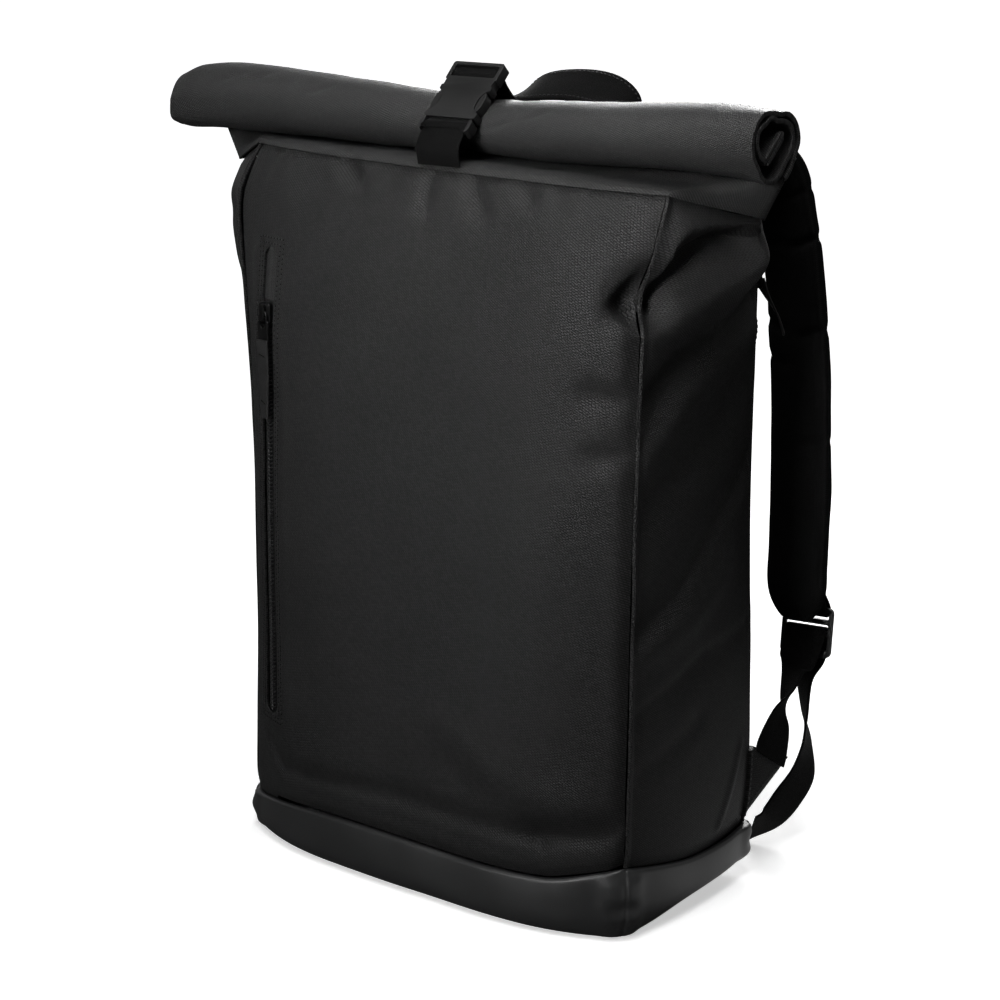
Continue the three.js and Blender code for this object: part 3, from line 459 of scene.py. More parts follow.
def off_line(panel, across, z, lift):
    """Points lifted off a panel's own line, before its relief, with the panel's outward directions there."""
    outward = normals(PANEL_POINT[panel], across, z)
    return PANEL_POINT[panel](across, z) + outward * np.asarray(lift)[..., None], outward


def on_panel(panel, across, z, lift):
    """Points lifted off the finished panel, with the panel's outward directions there."""
    across, z = np.broadcast_arrays(np.asarray(across, float), np.asarray(z, float))
    return off_line(panel, across, z, PANEL_RELIEF[panel](across, z) + lift)


def surface(panel, across, z):
    return on_panel(panel, across, z, 0)[0]


# Mesh making
def read_points(made):
    flat = np.empty(len(made.data.vertices) * 3)
    made.data.vertices.foreach_get("co", flat)
    return flat.reshape(-1, 3)


def write_points(made, points):
    made.data.vertices.foreach_set("co", np.ascontiguousarray(points, float).ravel())
    made.data.update()


def make_active(made):
    bpy.ops.object.select_all(action="DESELECT")
    made.select_set(True)
    bpy.context.view_layer.objects.active = made


@contextmanager
def editing(made):
    """Edit mode on a piece, for the lines inside."""
    make_active(made)
    bpy.ops.object.mode_set(mode="EDIT")
    yield
    bpy.ops.object.mode_set(mode="OBJECT")


def apply_modifier(made, kind, **settings):
    make_active(made)
    modifier = made.modifiers.new(kind.title(), kind)
    for name, value in settings.items():
        setattr(modifier, name, value)
    bpy.ops.object.modifier_apply(modifier=modifier.name)


def thicken(made, thickness, offset=-1):
    apply_modifier(made, "SOLIDIFY", thickness=thickness * MM, offset=offset)


def round_edges(made, width, segments, degrees):
    """Bevels the edges that turn by more than the degrees."""
    limit = {"limit_method": "ANGLE", "angle_limit": math.radians(degrees)}
    apply_modifier(made, "BEVEL", width=width * MM, segments=segments, **limit)


def grid(name, columns, rows, place, cloth):
    """A grid of cloth: place(u, v) gives its points in millimetres and cloth(u, v) its own two directions."""
    bpy.ops.mesh.primitive_grid_add(x_subdivisions=columns, y_subdivisions=rows, size=1)
    made = bpy.context.object
    made.name = made.data.name = name
    flat = read_points(made)
    u, v = flat[:, 0] + 0.5, flat[:, 1] + 0.5
    write_points(made, place(u, v) * MM)
    corner = np.empty(len(made.data.loops), int)
    made.data.loops.foreach_get("vertex_index", corner)
    across, along = np.broadcast_arrays(*cloth(u, v))
    laid = np.stack([across, along], axis=-1)[corner] * MM
    made.data.uv_layers.active.data.foreach_set("uv", laid.ravel())
    return made, u, v


def select_only(made, kind, chosen):
    """Selects the chosen vertices, edges or polygons of a piece, and nothing else of it."""
    kinds = ("vertices", "edges", "polygons")
    bpy.context.tool_settings.mesh_select_mode = [each == kind for each in kinds]
    for each in kinds:
        part = getattr(made.data, each)
        part.foreach_set("select", chosen if each == kind else np.zeros(len(part), bool))


def drop_faces(made, chosen):
    select_only(made, "polygons", chosen)
    with editing(made):
        bpy.ops.mesh.delete(type="FACE")


def close_up(made, merge=1e-6):
    """Merges doubles, fills open ends and turns the faces outwards."""
    with editing(made):
        bpy.ops.mesh.select_all(action="SELECT")
        bpy.ops.mesh.remove_doubles(threshold=merge)
        bpy.ops.mesh.fill_holes(sides=0)
        bpy.ops.mesh.select_all(action="SELECT")
        bpy.ops.mesh.normals_make_consistent(inside=False)


def smooth_shade(made, degrees):
    make_active(made)
    bpy.ops.object.shade_smooth_by_angle(angle=math.radians(degrees))


def dress(made, finish, slot, *nodes):
    """Gives a piece its finish, hangs it from the root and hides the solids that it stands for; slot is not
    used.
    """
    made.data.materials.clear()
    made.data.materials.append(finish)
    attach(made, "root")
    if nodes:
        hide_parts(*nodes)
    return made


def cloth_piece(made, thickness, degrees, finish, slot, node):
    """Gives a grid its cloth's thickness, smooths it and dresses it."""
    thicken(made, thickness)
    smooth_shade(made, degrees)
    return dress(made, finish, slot, node)


def mirrored(made, name):
    twin = bpy.data.objects.new(name, made.data.copy())
    bpy.context.scene.collection.objects.link(twin)
    twin.data.name = name
    write_points(twin, read_points(twin) * (-1, 1, 1))
    twin.data.flip_normals()
    return twin


# Finishes
def new_finish(name):
    made = bpy.data.materials.new(name)
    made.use_nodes = True
    return made, made.node_tree, made.node_tree.nodes["Principled BSDF"]


def feed(tree, node, inputs):
    """Links a node's inputs to the sockets given, or sets them to the values given."""
    for name, value in inputs.items():
        if isinstance(value, bpy.types.NodeSocket):
            tree.links.new(value, node.inputs[name])
        else:
            node.inputs[name].default_value = value


def add_node(tree, kind, inputs=None, **settings):
    made = tree.nodes.new(kind)
    for name, value in settings.items():
        setattr(made, name, value)
    feed(tree, made, inputs or {})
    return made


def grey(value, warmth=0.0):
    return (value * (1 + warmth), value, value * (1 - warmth), 1)


def shade_mix(tree, factor, dark, light):
    return add_node(tree, "ShaderNodeMix", {0: factor, 6: dark, 7: light}, data_type="RGBA").outputs[2]


def ramp(tree, value, low, high, to_low=0.0, to_high=1.0):
    inputs = {"Value": value, "From Min": low, "From Max": high, "To Min": to_low, "To Max": to_high}
    return add_node(tree, "ShaderNodeMapRange", inputs).outputs["Result"]


def along_way(tree, spot, way):
    """How far a spot lies along a way from the origin."""
    return add_node(tree, "ShaderNodeVectorMath", {0: spot, 1: way}, operation="DOT_PRODUCT").outputs["Value"]


def noise(tree, place, scale, detail):
    inputs = {"Vector": place.outputs["Object"], "Scale": scale, "Detail": detail}
    return add_node(tree, "ShaderNodeTexNoise", inputs).outputs["Fac"]


def times(tree, first, second):
    return add_node(tree, "ShaderNodeMath", {0: first, 1: second}, operation="MULTIPLY").outputs["Value"]


def lay_on(tree, shader, shade, rough, height, relief, depth, specular, metallic=0.0):
    """Gives a shader its shade, its roughness and its relief, which is depth deep, and its sheen."""
    lift = add_node(tree, "ShaderNodeBump", {"Height": height, "Strength": relief, "Distance": depth})
    feed(tree, shader, {"Base Color": shade, "Roughness": rough, "Normal": lift.outputs["Normal"]})
    feed(tree, shader, {"Specular IOR Level": specular, "Metallic": metallic})


def woven(name, yarn, turn, dark, light, roughness, relief, specular):
    """Cloth of short yarn floats, yarn long and thick in millimetres, turned on the piece's own UV map."""
    made, tree, shader = new_finish(name)
    place = add_node(tree, "ShaderNodeTexCoord")
    turning = {"Vector": place.outputs["UV"], "Rotation": (0, 0, math.radians(turn))}
    turned = add_node(tree, "ShaderNodeMapping", turning)
    floats = add_node(
        tree,
        "ShaderNodeTexBrick",
        {
            "Vector": turned.outputs["Vector"],
            "Color1": grey(0.72),
            "Color2": grey(1.0),
            "Mortar": grey(0.0),
            "Scale": 1.0,
            "Mortar Size": yarn[1] * MM * 0.31,
            "Mortar Smooth": 1.0,
            "Brick Width": yarn[0] * MM,
            "Row Height": yarn[1] * MM,
        },
    )
    cloud = noise(tree, place, 22.0, 3.0)
    lint = noise(tree, place, 1400.0, 1.0)
    faded = tuple(c * 0.85 for c in light[:3]) + (1,)
    worn = shade_mix(tree, ramp(tree, cloud, 0.35, 0.7), light, faded)
    shade = shade_mix(tree, floats.outputs["Color"], dark, worn)
    rough = ramp(tree, lint, 0.3, 0.7, roughness - 0.08, roughness + 0.1)
    lay_on(tree, shader, shade, rough, floats.outputs["Color"], relief, 0.0003, specular)
    return made


def moulded(name, dark, light, roughness, grain, relief, specular, metallic=0.0):
    """Smooth skin with a fine grain, grain in millimetres, and faint handling marks."""
    made, tree, shader = new_finish(name)
    place = add_node(tree, "ShaderNodeTexCoord")
    pebble = add_node(
        tree,
        "ShaderNodeTexVoronoi",
        {"Vector": place.outputs["Object"], "Scale": 1000 / grain, "Smoothness": 0.6},
        feature="SMOOTH_F1",
    )
    rub = noise(tree, place, 30.0, 6.0)
    shade = shade_mix(tree, ramp(tree, rub, 0.38, 0.68), dark, light)
    rough = ramp(tree, rub, 0.3, 0.7, roughness - 0.06, roughness + 0.08)
    lay_on(tree, shader, shade, rough, pebble.outputs["Distance"], relief, 0.0002, specular, metallic)
    return made


TWILL = woven("black_twill", (2.2, 1.12), 32, grey(0.001), grey(0.028), 0.5, 0.6, 0.12)
# A lighter copy of the black twill for the roll, the collar and the zip window's cloth: painted light,
# brightening those places to stand in for the light that falls on them.
PAINTED_LIGHT_TWILL = woven("mouth_twill_painted_light", (2.2, 1.12), 32, grey(0.001), grey(0.042), 0.5, 0.8, 0.14)
# Strap cloth darker than the back's padded cloth: partly its own black, partly painted shade standing in for
# the shade the straps hang in behind the bag.
SHADED_PAD_CLOTH = woven("strap_cloth_painted_shade", (1.6, 0.8), 45, grey(0.001), grey(0.008), 0.85, 0.5, 0.03)
BACK_CLOTH = woven("back_cloth", (1.9, 0.95), 45, grey(0.002), grey(0.02), 0.8, 0.6, 0.05)
WEBBING = woven("ribbed_webbing", (2.6, 0.7), 22, grey(0.001), grey(0.0048), 0.6, 0.8, 0.05)
RIBBON = woven("ribbon_tape", (1.2, 0.6), 45, grey(0.004), grey(0.024), 0.6, 0.3, 0.1)
ZIP_TAPE = woven("zip_tape", (1.2, 0.6), 60, grey(0.003), grey(0.014), 0.65, 0.5, 0.12)
# Thread darker than the twill: its own black, and partly painted shade, so the stitch lines read dark as
# their holes do.
THREAD = moulded("sewing_thread", grey(0.003), grey(0.008), 0.5, 0.4, 0.5, 0.3)
# Near-black: painted shade of needle holes, laid on the cloth as flat dots.
HOLE_SHADE = moulded("needle_hole_shade", grey(0.0004), grey(0.0008), 0.9, 0.4, 0.2, 0.0)
BOOT_SKIN = moulded("coated_boot", grey(0.011, -0.02), grey(0.015, -0.02), 0.42, 0.55, 0.25, 0.6)
PLASTIC = moulded("black_plastic", grey(0.004), grey(0.006), 0.33, 0.5, 0.12, 0.55)
COIL = moulded("zip_coil", grey(0.003), grey(0.006), 0.45, 0.6, 0.2, 0.5)
METAL = moulded("plated_metal", grey(0.015), grey(0.03), 0.3, 0.5, 0.1, 0.5, metallic=0.9)


# Sewing: one stitch and one zip tooth are modelled, then copied
def seed_shape(size, dip):
    """A grain of thread: a small round bar whose ends dip into the cloth."""
    bpy.ops.mesh.primitive_uv_sphere_add(segments=8, ring_count=5, radius=1)
    made = bpy.context.object
    points = read_points(made)[:, [2, 0, 1]] * np.array(size) / 2
    points[:, 2] -= dip * (points[:, 0] / (size[0] / 2)) ** 2
    faces = [tuple(p.vertices) for p in made.data.polygons]
    bpy.data.meshes.remove(made.data)
    return points, faces


STITCH = seed_shape((2.5, 0.75, 0.6), 0.3)
TOOTH = seed_shape((4.6, 1.1, 1.5), 0.2)
# A flat dot that carries the painted shade of a needle hole.
HOLE = seed_shape((1.0, 0.9, 0.3), 0)


def copies(name, seed, at, along, outward):
    """One mesh of a seed shape repeated at points, along and outward giving each copy's directions."""
    points, faces = seed
    outward = unit(outward)
    along = unit(along - outward * (along * outward).sum(-1, keepdims=True))
    axes = np.stack([along, np.cross(outward, along), outward], axis=1)
    laid = (np.einsum("pk,nkc->npc", points, axes) + at[:, None]).reshape(-1, 3) * MM
    count = len(points)
    repeated = [tuple(i + n * count for i in face) for n in range(len(at)) for face in faces]
    mesh = bpy.data.meshes.new(name)
    mesh.from_pydata(laid.tolist(), [], repeated)
    made = bpy.data.objects.new(name, mesh)
    bpy.context.scene.collection.objects.link(made)
    smooth_shade(made, 80)
    return made


def run_length(points):
    return np.concatenate([[0], np.cumsum(np.linalg.norm(np.diff(points, axis=0), axis=1))])


def evenly(points, outward, pitch, shift):
    """Places every pitch along a line of points, with direction of travel and outward direction."""
    run = run_length(points)
    count = max(int(run[-1] / pitch), 1)
    where = (np.arange(count) + shift) * run[-1] / count

    def pick(values, s):
        return np.stack([np.interp(s, run, values[:, k]) for k in range(3)], axis=-1)

    return pick(points, where), pick(points, where + 0.4) - pick(points, where - 0.4), pick(outward, where)


def sew(name, runs, slot, pitch, seed=STITCH, finish=THREAD, shift=0.5):
    """Stitches along runs, each a line of points and their outward directions; shift moves them on."""
    rows = [evenly(points, outward, pitch, shift) for points, outward in runs]
    at, along, outward = (np.concatenate(parts) for parts in zip(*rows))
    return dress(copies(name, seed, at, along, outward), finish, slot)


# Body panels
def row_heights(panel, across, v):
    return lerp(boot_top(panel, across) + GAP, SEAM_HEIGHT, v)


def body_panel(name, panel, columns, rows, thickness, finish, slot, node):
    seam = SEAM_CLEAR / PANEL_SPAN[panel]

    def place(u, v):
        across = lerp(seam, 1 - seam, u)
        return surface(panel, across, row_heights(panel, across, v))

    made, _, _ = grid(name, columns, rows, place, lambda u, v: (u * PANEL_SPAN[panel], v * PANEL_HEIGHT))
    return cloth_piece(made, thickness, 40, finish, slot, node)


# Mesh columns left of, in and right of the zip's slot, and rows below, beside and above it
SLOT_COLUMNS = (16, 8, 122)
SLOT_ROWS = (22, 128, 26)


def front_panel():
    """The front, its columns and rows following the slot of the zip, whose faces are then dropped."""
    columns, rows = sum(SLOT_COLUMNS), sum(SLOT_ROWS)
    stops_u = np.cumsum((0,) + SLOT_COLUMNS) / columns
    stops_v = np.cumsum((0,) + SLOT_ROWS) / rows

    def across_and_height(u, v):
        middle = np.clip((v - stops_v[1]) / (stops_v[2] - stops_v[1]), 0, 1)
        eased = middle - 0.1 * np.sin(2 * np.pi * middle)
        share = np.interp(v, stops_v, (0, 1, 2, 3))
        base = boot_top("front", u) + GAP
        low, high = FRONT_ZIP["low"], FRONT_ZIP["high"]
        below = lerp(base, low, np.clip(share, 0, 1))
        above = lerp(high, SEAM_HEIGHT, np.clip(share - 2, 0, 1))
        z = np.where(share < 1, below, np.where(share > 2, above, lerp(low, high, eased)))
        half = slot_half(z)
        edges = [across_of_x(FRONT_ZIP["x"] - half, z), across_of_x(FRONT_ZIP["x"] + half, z)]
        seam = SEAM_CLEAR / FRONT_SPAN
        across = np.where(
            u < stops_u[1],
            lerp(seam, edges[0], u / stops_u[1]),
            np.where(
                u > stops_u[2],
                lerp(edges[1], 1 - seam, (u - stops_u[2]) / (1 - stops_u[2])),
                lerp(edges[0], edges[1], (u - stops_u[1]) / (stops_u[2] - stops_u[1])),
            ),
        )
        return across, z

    def cloth(u, v):
        across, z = across_and_height(u, v)
        return across * FRONT_SPAN, z

    def place(u, v):
        return surface("front", *across_and_height(u, v))

    made, u, v = grid("front_twill", columns, rows, place, cloth)
    middle_u = np.array([u[list(p.vertices)].mean() for p in made.data.polygons])
    middle_v = np.array([v[list(p.vertices)].mean() for p in made.data.polygons])
    inside = (middle_u > stops_u[1]) & (middle_u < stops_u[2])
    drop_faces(made, inside & (middle_v > stops_v[1]) & (middle_v < stops_v[2]))
    return cloth_piece(made, CLOTH, 40, TWILL, "cloth", "front_panel")


front_panel()
body_panel("right_gusset", "right", 110, 220, CLOTH, TWILL, "cloth", "side_panel_right")
body_panel("left_gusset", "left", 80, 160, CLOTH, TWILL, "cloth", "side_panel_left")
body_panel("back_pad", "back", 110, 130, 7, BACK_CLOTH, "padded", "back_panel")

# Boot: a profile from its flat underside up the outside and down the inside, inset and share of its height
BOOT_PROFILE = [
    (1, 6.5, 0),
    (1.5, 4.2, 0.008),
    (2, 1.4, 0.06),
    (3, -1, 0.17),
    (4, -2.4, 0.36),
    (5, -2.6, 0.66),
    (6, -2, 0.93),
    (6.6, -1.3, 0.985),
    (7, -0.4, 1),
    (7.6, 1.7, 0.99),
    (8, 2.2, 0.9),
    (9, 2.2, 0.5),
    (10, 4, 0.24),
    (11, 8, 0.1),
]
BOOT_TUCK = 22
BOOT_STATIONS = {"front": 120, "right": 72, "back": 80, "left": 60}
BOOT_ROWS = 72
BOOT_ROUND, BOOT_HEIGHT = 780, 60
MITRE_REACH = 7


def mitre(panel, z):
    """The way out at a panel's first seam, on the bisector of the two panels that meet there."""
    before = PANEL_ORDER[PANEL_ORDER.index(panel) - 1]
    own = normals(PANEL_POINT[panel], np.array(0.0), z)
    other = normals(PANEL_POINT[before], np.array(1.0), z)
    middle = unit(own + other)
    return middle / (middle * own).sum(-1, keepdims=True)


def boot_outline():
    """Points round the boot's seam, the way out at each, its height, and distance from the nearest corner."""
    at, outward, top, corner = [], [], [], []
    for index, panel in enumerate(PANEL_ORDER):
        across = np.arange(BOOT_STATIONS[panel]) / BOOT_STATIONS[panel]
        across = across - 0.11 * np.sin(2 * np.pi * across)
        z = boot_top(panel, across)
        after = PANEL_ORDER[(index + 1) % 4]
        near = bump(across * PANEL_SPAN[panel], MITRE_REACH)[:, None]
        far = bump((1 - across) * PANEL_SPAN[panel], MITRE_REACH)[:, None]
        flat = normals(PANEL_POINT[panel], across, z)
        start, end = mitre(panel, z[0]), mitre(after, z[-1])
        outward.append(flat * (1 - near - far) + start * near + end * far)
        at.append(PANEL_POINT[panel](across, z))
        top.append(z)
        corner.append(np.minimum(across, 1 - across) * PANEL_SPAN[panel])
    return np.concatenate(at), np.concatenate(outward), np.concatenate(top), np.concatenate(corner)


def boot():
    at, outward, top, corner = boot_outline()
    profile = smooth_table(BOOT_PROFILE)
    count = len(at)

    def place(u, v):
        i = np.rint(u * count).astype(int) % count
        _, inset, share = np.moveaxis(profile(lerp(BOOT_PROFILE[0][0], BOOT_PROFILE[-1][0], v)), -1, 0)
        front, back, half = SECTIONS[0][3] - 10, SECTIONS[0][5] - 10, SECTIONS[0][4]
        drawn = BOOT_TUCK * smooth(at[i, 1], front, back) * np.maximum(1 - 2 * share, 0) ** 2
        outside = smooth(v, 0.02, 0.1) * smooth(0.62 - v, 0, 0.06)
        groove = 1.5 * bump(corner[i], 1.3) - 1.4 * bump(corner[i] - 7, 5)
        pucker = -1.1 * drift(top[i] * share * 1.4, corner[i] * 0.5, 9, 32) * bump(corner[i] - 5, 6)
        dents = 0.5 * drift(at[i, 0] + at[i, 1], top[i] * share, 34, 31)
        inward = inset + outside * (groove + pucker + dents)
        x = at[i, 0] - inward * outward[i, 0] - drawn * at[i, 0] / half
        y = at[i, 1] - inward * outward[i, 1] - drawn * np.maximum(at[i, 1], 0) / SECTIONS[0][5]
        return stack(x, y, np.maximum(top[i] * share, 0))

    made, _, _ = grid("boot_skin", count, BOOT_ROWS, place, lambda u, v: (u * BOOT_ROUND, v * BOOT_HEIGHT))
    close_up(made)
    smooth_shade(made, 50)
    return dress(made, BOOT_SKIN, "coated", "base_boot")


boot()


# Roll and collar
def squared(value, power):
    return np.sign(value) * np.abs(value) ** power


def roll_point(x, degrees, out):
    """A point of the coil, whose left end is pressed square but for its upper front."""
    _, y, z, deep, tall = np.moveaxis(roll_rows(x), -1, 0)
    size = ROLL_OUTER - ROLL_GROWTH * (degrees - ROLL_START) / 360
    angle = np.radians(degrees)
    fore, up = np.cos(angle), np.sin(angle)
    power = 1 + np.where((fore < 0) & (up > 0), 0.1, -0.5) * bump(x - ROLL_ENDS[0], 55)
    fore, up = squared(fore, power), squared(up, power)
    return stack(x, y + (deep * size + out) * fore, z + (tall * size + out) * up)


def roll_slack(x, degrees):
    """Soft dents of the roll, stronger by the strap that pinches it and at its two ends."""
    arc, angle = degrees * 0.33, degrees % 360
    pinch = bump(x - CLOSURE_X, 34) * 1.3 * drift(x * 0.8 + arc * 0.5, arc * 0.4, 11, 43)
    turn = np.radians(degrees)
    plies = 1.2 * np.sin(3 * turn + 0.5) + 2.1 * drift(x * 0.2, arc, 8, 45)
    ends = bump(x - ROLL_ENDS[0], 22) * drift(x * 0.4, arc, 13, 44) + bump(x - ROLL_ENDS[1], 18) * plies
    dent = -1.5 * bump(x + 150, 22) * bump(angle - 120, 26)
    for place, height, depth, width in ROLL_CREASES:
        dent = dent - depth * bump(x - place + (angle - height) * 0.6, width) * bump(angle - height, 11)
    return 0.6 * drift(x, arc, 48, 41) + 0.3 * drift(x + arc, arc - x, 19, 42) + pinch + ends + dent


def roll():
    """The mouth wound inwards, its stiff edge folded double across the core."""
    coil_end, cross_end = 0.84, 0.92
    ply = ROLL_PLIES + GAP
    width = ROLL_ENDS[1] - ROLL_ENDS[0]

    def place(u, v):
        x = lerp(ROLL_ENDS[0], ROLL_ENDS[1], u)
        degrees = lerp(ROLL_START, MOUTH_TURN, np.clip(v / coil_end, 0, 1))
        coil = roll_point(x, degrees, roll_slack(x, degrees) * smooth(degrees, ROLL_START, ROLL_START + 60))
        near = roll_point(x, MOUTH_TURN + 0 * x, 0)
        far = roll_point(x, MOUTH_TURN - 180 + 0 * x, -5)
        over = unit(np.cross(far - near, (1.0, 0, 0)))
        out = np.clip((v - coil_end) / (cross_end - coil_end), 0, 1)[:, None]
        back = np.clip((v - cross_end) / (1 - cross_end), 0, 0.85)[:, None]
        flap = lerp(near, far, out) + (near - far) * back + over * ply * smooth(back, 0, 0.12)
        return np.where((v <= coil_end)[:, None], coil, flap)

    made, _, _ = grid("rolled_mouth", 170, 130, place, lambda u, v: (u * width, v * MOUTH_CLOTH))
    thicken(made, ROLL_PLIES, 0)
    round_edges(made, 0.8, 2, 60)
    smooth_shade(made, 60)
    return dress(made, PAINTED_LIGHT_TWILL, "cloth", "roll_top")


def collar_edge(panels):
    """The line just outside the panels' top edge, along panels with the shares where each starts and ends."""
    lines = []
    for name, start, end, count in panels:
        across = np.linspace(start, end, count)
        lines.append(off_line(name, across, np.full(count, SEAM_HEIGHT - 1.2), 1.3)[0])
    return np.concatenate([lines[0]] + [line[1:] for line in lines[1:]])


def collar(name, edge, upper, puff, bend, seed, node):
    count = len(edge) - 1
    start, end = edge[0, 0], edge[-1, 0]
    ends = COLLAR_ENDS if end > start else COLLAR_ENDS[::-1]

    def place(u, v):
        low = edge[np.rint(u * count).astype(int)]
        share = np.clip((low[:, 0] - start) / (end - start), 0, 1)
        high = upper(lerp(ends[0], ends[1], share))
        full = puff * np.sqrt(np.sin(np.pi * share))
        point = lerp(low, high, v[:, None])
        middle = smooth(share * (1 - share), 0, 0.1)
        gather = 0.9 * drift(low[:, 0], v * 20, 15, seed) * np.sin(np.pi * v) * middle
        bent = lerp(1.0, bend, middle)
        point[:, 2] = lerp(low[:, 2], high[:, 2], v**bent) + full * np.sin(np.pi * np.sqrt(v)) + gather
        return point

    def cloth(u, v):
        laid = place(u, v).reshape(COLLAR_ROWS + 1, count + 1, 3)
        climb = np.linalg.norm(np.diff(laid, axis=0, prepend=laid[:1]), axis=-1)
        return u * COLLAR_CLOTH, np.cumsum(climb, axis=0).ravel()

    made, _, _ = grid(name, count, COLLAR_ROWS, place, cloth)
    return cloth_piece(made, 1.1, 50, PAINTED_LIGHT_TWILL, "cloth", node)


roll()
front_edge = collar_edge(
    [("left", 1 - EAR_DEPTH["left"], 1, 24), ("front", 0, 1, 110), ("right", 0, EAR_DEPTH["right"], 30)]
)
back_edge = collar_edge(
    [("right", EAR_DEPTH["right"], 1, 30), ("back", 0, 1, 110), ("left", 0, 1 - EAR_DEPTH["left"], 34)]
)


def under_roll(x):
    return roll_point(x, ROLL_START, 1.1) + (0, -1.6, 0)


def behind_roll(x):
    return roll_point(x, BACK_PLY_ANGLE, ROLL_PLIES / 2 + 1.6)


collar("collar_ply_front", front_edge, under_roll, 5, 2.8, 51, "collar_front")
collar("collar_ply_back", back_edge, behind_roll, 2.5, 1.4, 52, "collar_back")


# Bands of webbing, swept along a line
def sweep(rows, count):
    """Points along a table of rows, with directions of travel and width and the outward normal."""
    curve = smooth_table([(n, *row) for n, row in enumerate(rows)])
    n = np.linspace(0, len(rows) - 1, count)
    line = curve(n)
    at, side = line[:, 1:4], line[:, 4:7]
    ends = np.clip(n[:, None] + (-0.02, 0.02), 0, len(rows) - 1)
    travel = unit(curve(ends[:, 1])[:, 1:4] - curve(ends[:, 0])[:, 1:4])
    side = unit(side - travel * (side * travel).sum(-1, keepdims=True))
    return at, travel, side, np.cross(travel, side)


def band_section(width, thick):
    """A flat section with round edges, from the middle of its top all the way round."""
    w, t = width / 2 - thick / 2, thick / 2
    top = [(a, t) for a in np.linspace(0, w, 5)]
    edge = [(w + t * math.cos(a), t * math.sin(a)) for a in np.radians((50, 0, -50))]
    under = [(a, -t) for a in np.linspace(w, 0, 5)]
    half = top + edge + under
    return np.array(half + [(-a, o) for a, o in half[-2::-1]])


def band(name, rows, width, thick, count, node, finish=WEBBING, slant=0.0):
    """A band swept along rows, its last end cut square or on a slant."""
    at, travel, side, normal = sweep(rows, count + 1)
    section = band_section(width, thick)
    around = len(section) - 1
    run = run_length(at)

    def pick(u, v):
        return section[np.rint(u * around).astype(int)], np.rint(v * count).astype(int)

    def place(u, v):
        spot, i = pick(u, v)
        cut = slant * spot[:, :1] * smooth(v, 0.94, 1)[:, None]
        return at[i] + travel[i] * cut + side[i] * spot[:, :1] + normal[i] * spot[:, 1:]

    def cloth(u, v):
        spot, i = pick(u, v)
        return spot[:, 0], run[i]

    made, _, _ = grid(name, around, count, place, cloth)
    close_up(made)
    smooth_shade(made, 50)
    return dress(made, finish, "webbing", node)


def lift_run(rows, across, lift, start, end, count=160):
    """A line along a swept band, a distance across it and lifted off its face."""
    at, _, side, normal = sweep(rows, count)
    keep = slice(int(start * count), max(int(end * count), int(start * count) + 3))
    outward = normal * np.sign(lift)
    return (at + side * across + normal * lift)[keep], outward[keep]


def frame_matrix(at, lean, turn=0):
    """A frame at a place, turned about the upright and leaning back."""
    turned = Matrix.Rotation(math.radians(turn), 4, "Z")
    return Matrix.Translation(at) @ turned @ Matrix.Rotation(math.radians(90 - lean), 4, "X")


def turn_rows(place, y, radius, start, end, steps, way=1):
    """A turn of webbing round a bar in a frame: 0 degrees is above the bar and 90 in front of it."""
    side = place.to_3x3() @ Vector((way, 0, 0))
    rows = []
    for degrees in np.linspace(start, end, steps + 1):
        angle = math.radians(degrees)
        at = place @ Vector((0, y + radius * math.cos(angle), radius * math.sin(angle)))
        rows.append((*at, *side))
    return rows


buckle_place = frame_matrix(BUCKLE["at"], BUCKLE["pitch"])
adjuster_place = frame_matrix(ADJUSTER["at"], ADJUSTER["lean"], ADJUSTER["turn"])

# Closure webbing
foot_z = SEAM_HEIGHT + 1.5
foot_y = float(front_point(across_of_x(CLOSURE_X, np.array(foot_z)), np.array(foot_z))[1]) - 4 * GAP - WEB / 2
STRAP_LOWER = [
    (CLOSURE_X, foot_y, foot_z, 1, 0, 0),
    (CLOSURE_X, foot_y - 1, foot_z + 10, 1, 0, 0),
    *turn_rows(buckle_place, BUCKLE["plug_bar"], 2.7, 150, -70, 7),
]
strap_x = np.array(float(CLOSURE_X))
over_roll = [(*roll_point(strap_x, np.array(angle), 4.35), 1, 0, 0) for angle in (60.0, 40.0, 20.0)]
back_top = float(back_point(np.array(0.5), np.array(SEAM_HEIGHT))[1])
STRAP_UPPER = [
    *turn_rows(buckle_place, BUCKLE["bar"], 2.6, 165, -10, 7),
    *[(*(buckle_place @ Vector((0, y, z))), 1, 0, 0) for y, z in ((43.8, -2.4), (43.3, -5.6), (42.4, -11))],
    *over_roll,
    (CLOSURE_X, back_top - 25, SEAM_HEIGHT + 12, 1, 0, 0),
    (CLOSURE_X, back_top - 2, SEAM_HEIGHT + 7, 1, 0, 0),
    (CLOSURE_X, back_top + 5, SEAM_HEIGHT - 2, 1, 0, 0),
    (CLOSURE_X, back_top + 7.6, SEAM_HEIGHT - 22, 1, 0, 0),
]
band("closure_web_front", STRAP_LOWER, CLOSURE_WEB, WEB, 80, "strap_lower")
band("closure_web_back", STRAP_UPPER, CLOSURE_WEB, WEB, 110, "strap_upper")
band("handle_web", HANDLE, HANDLE_WEB, WEB + 0.5, 110, "grab_handle")


# Front zip: tape, chain, the cloth in the window above it
def in_slot(x, z, lift):
    """Points in the slot, x from its middle and lifted off the panel's own line, and the ways out there."""
    across = across_of_x(FRONT_ZIP["x"] + x, z)
    return off_line("front", across, z, lift + front_slack(across, z))


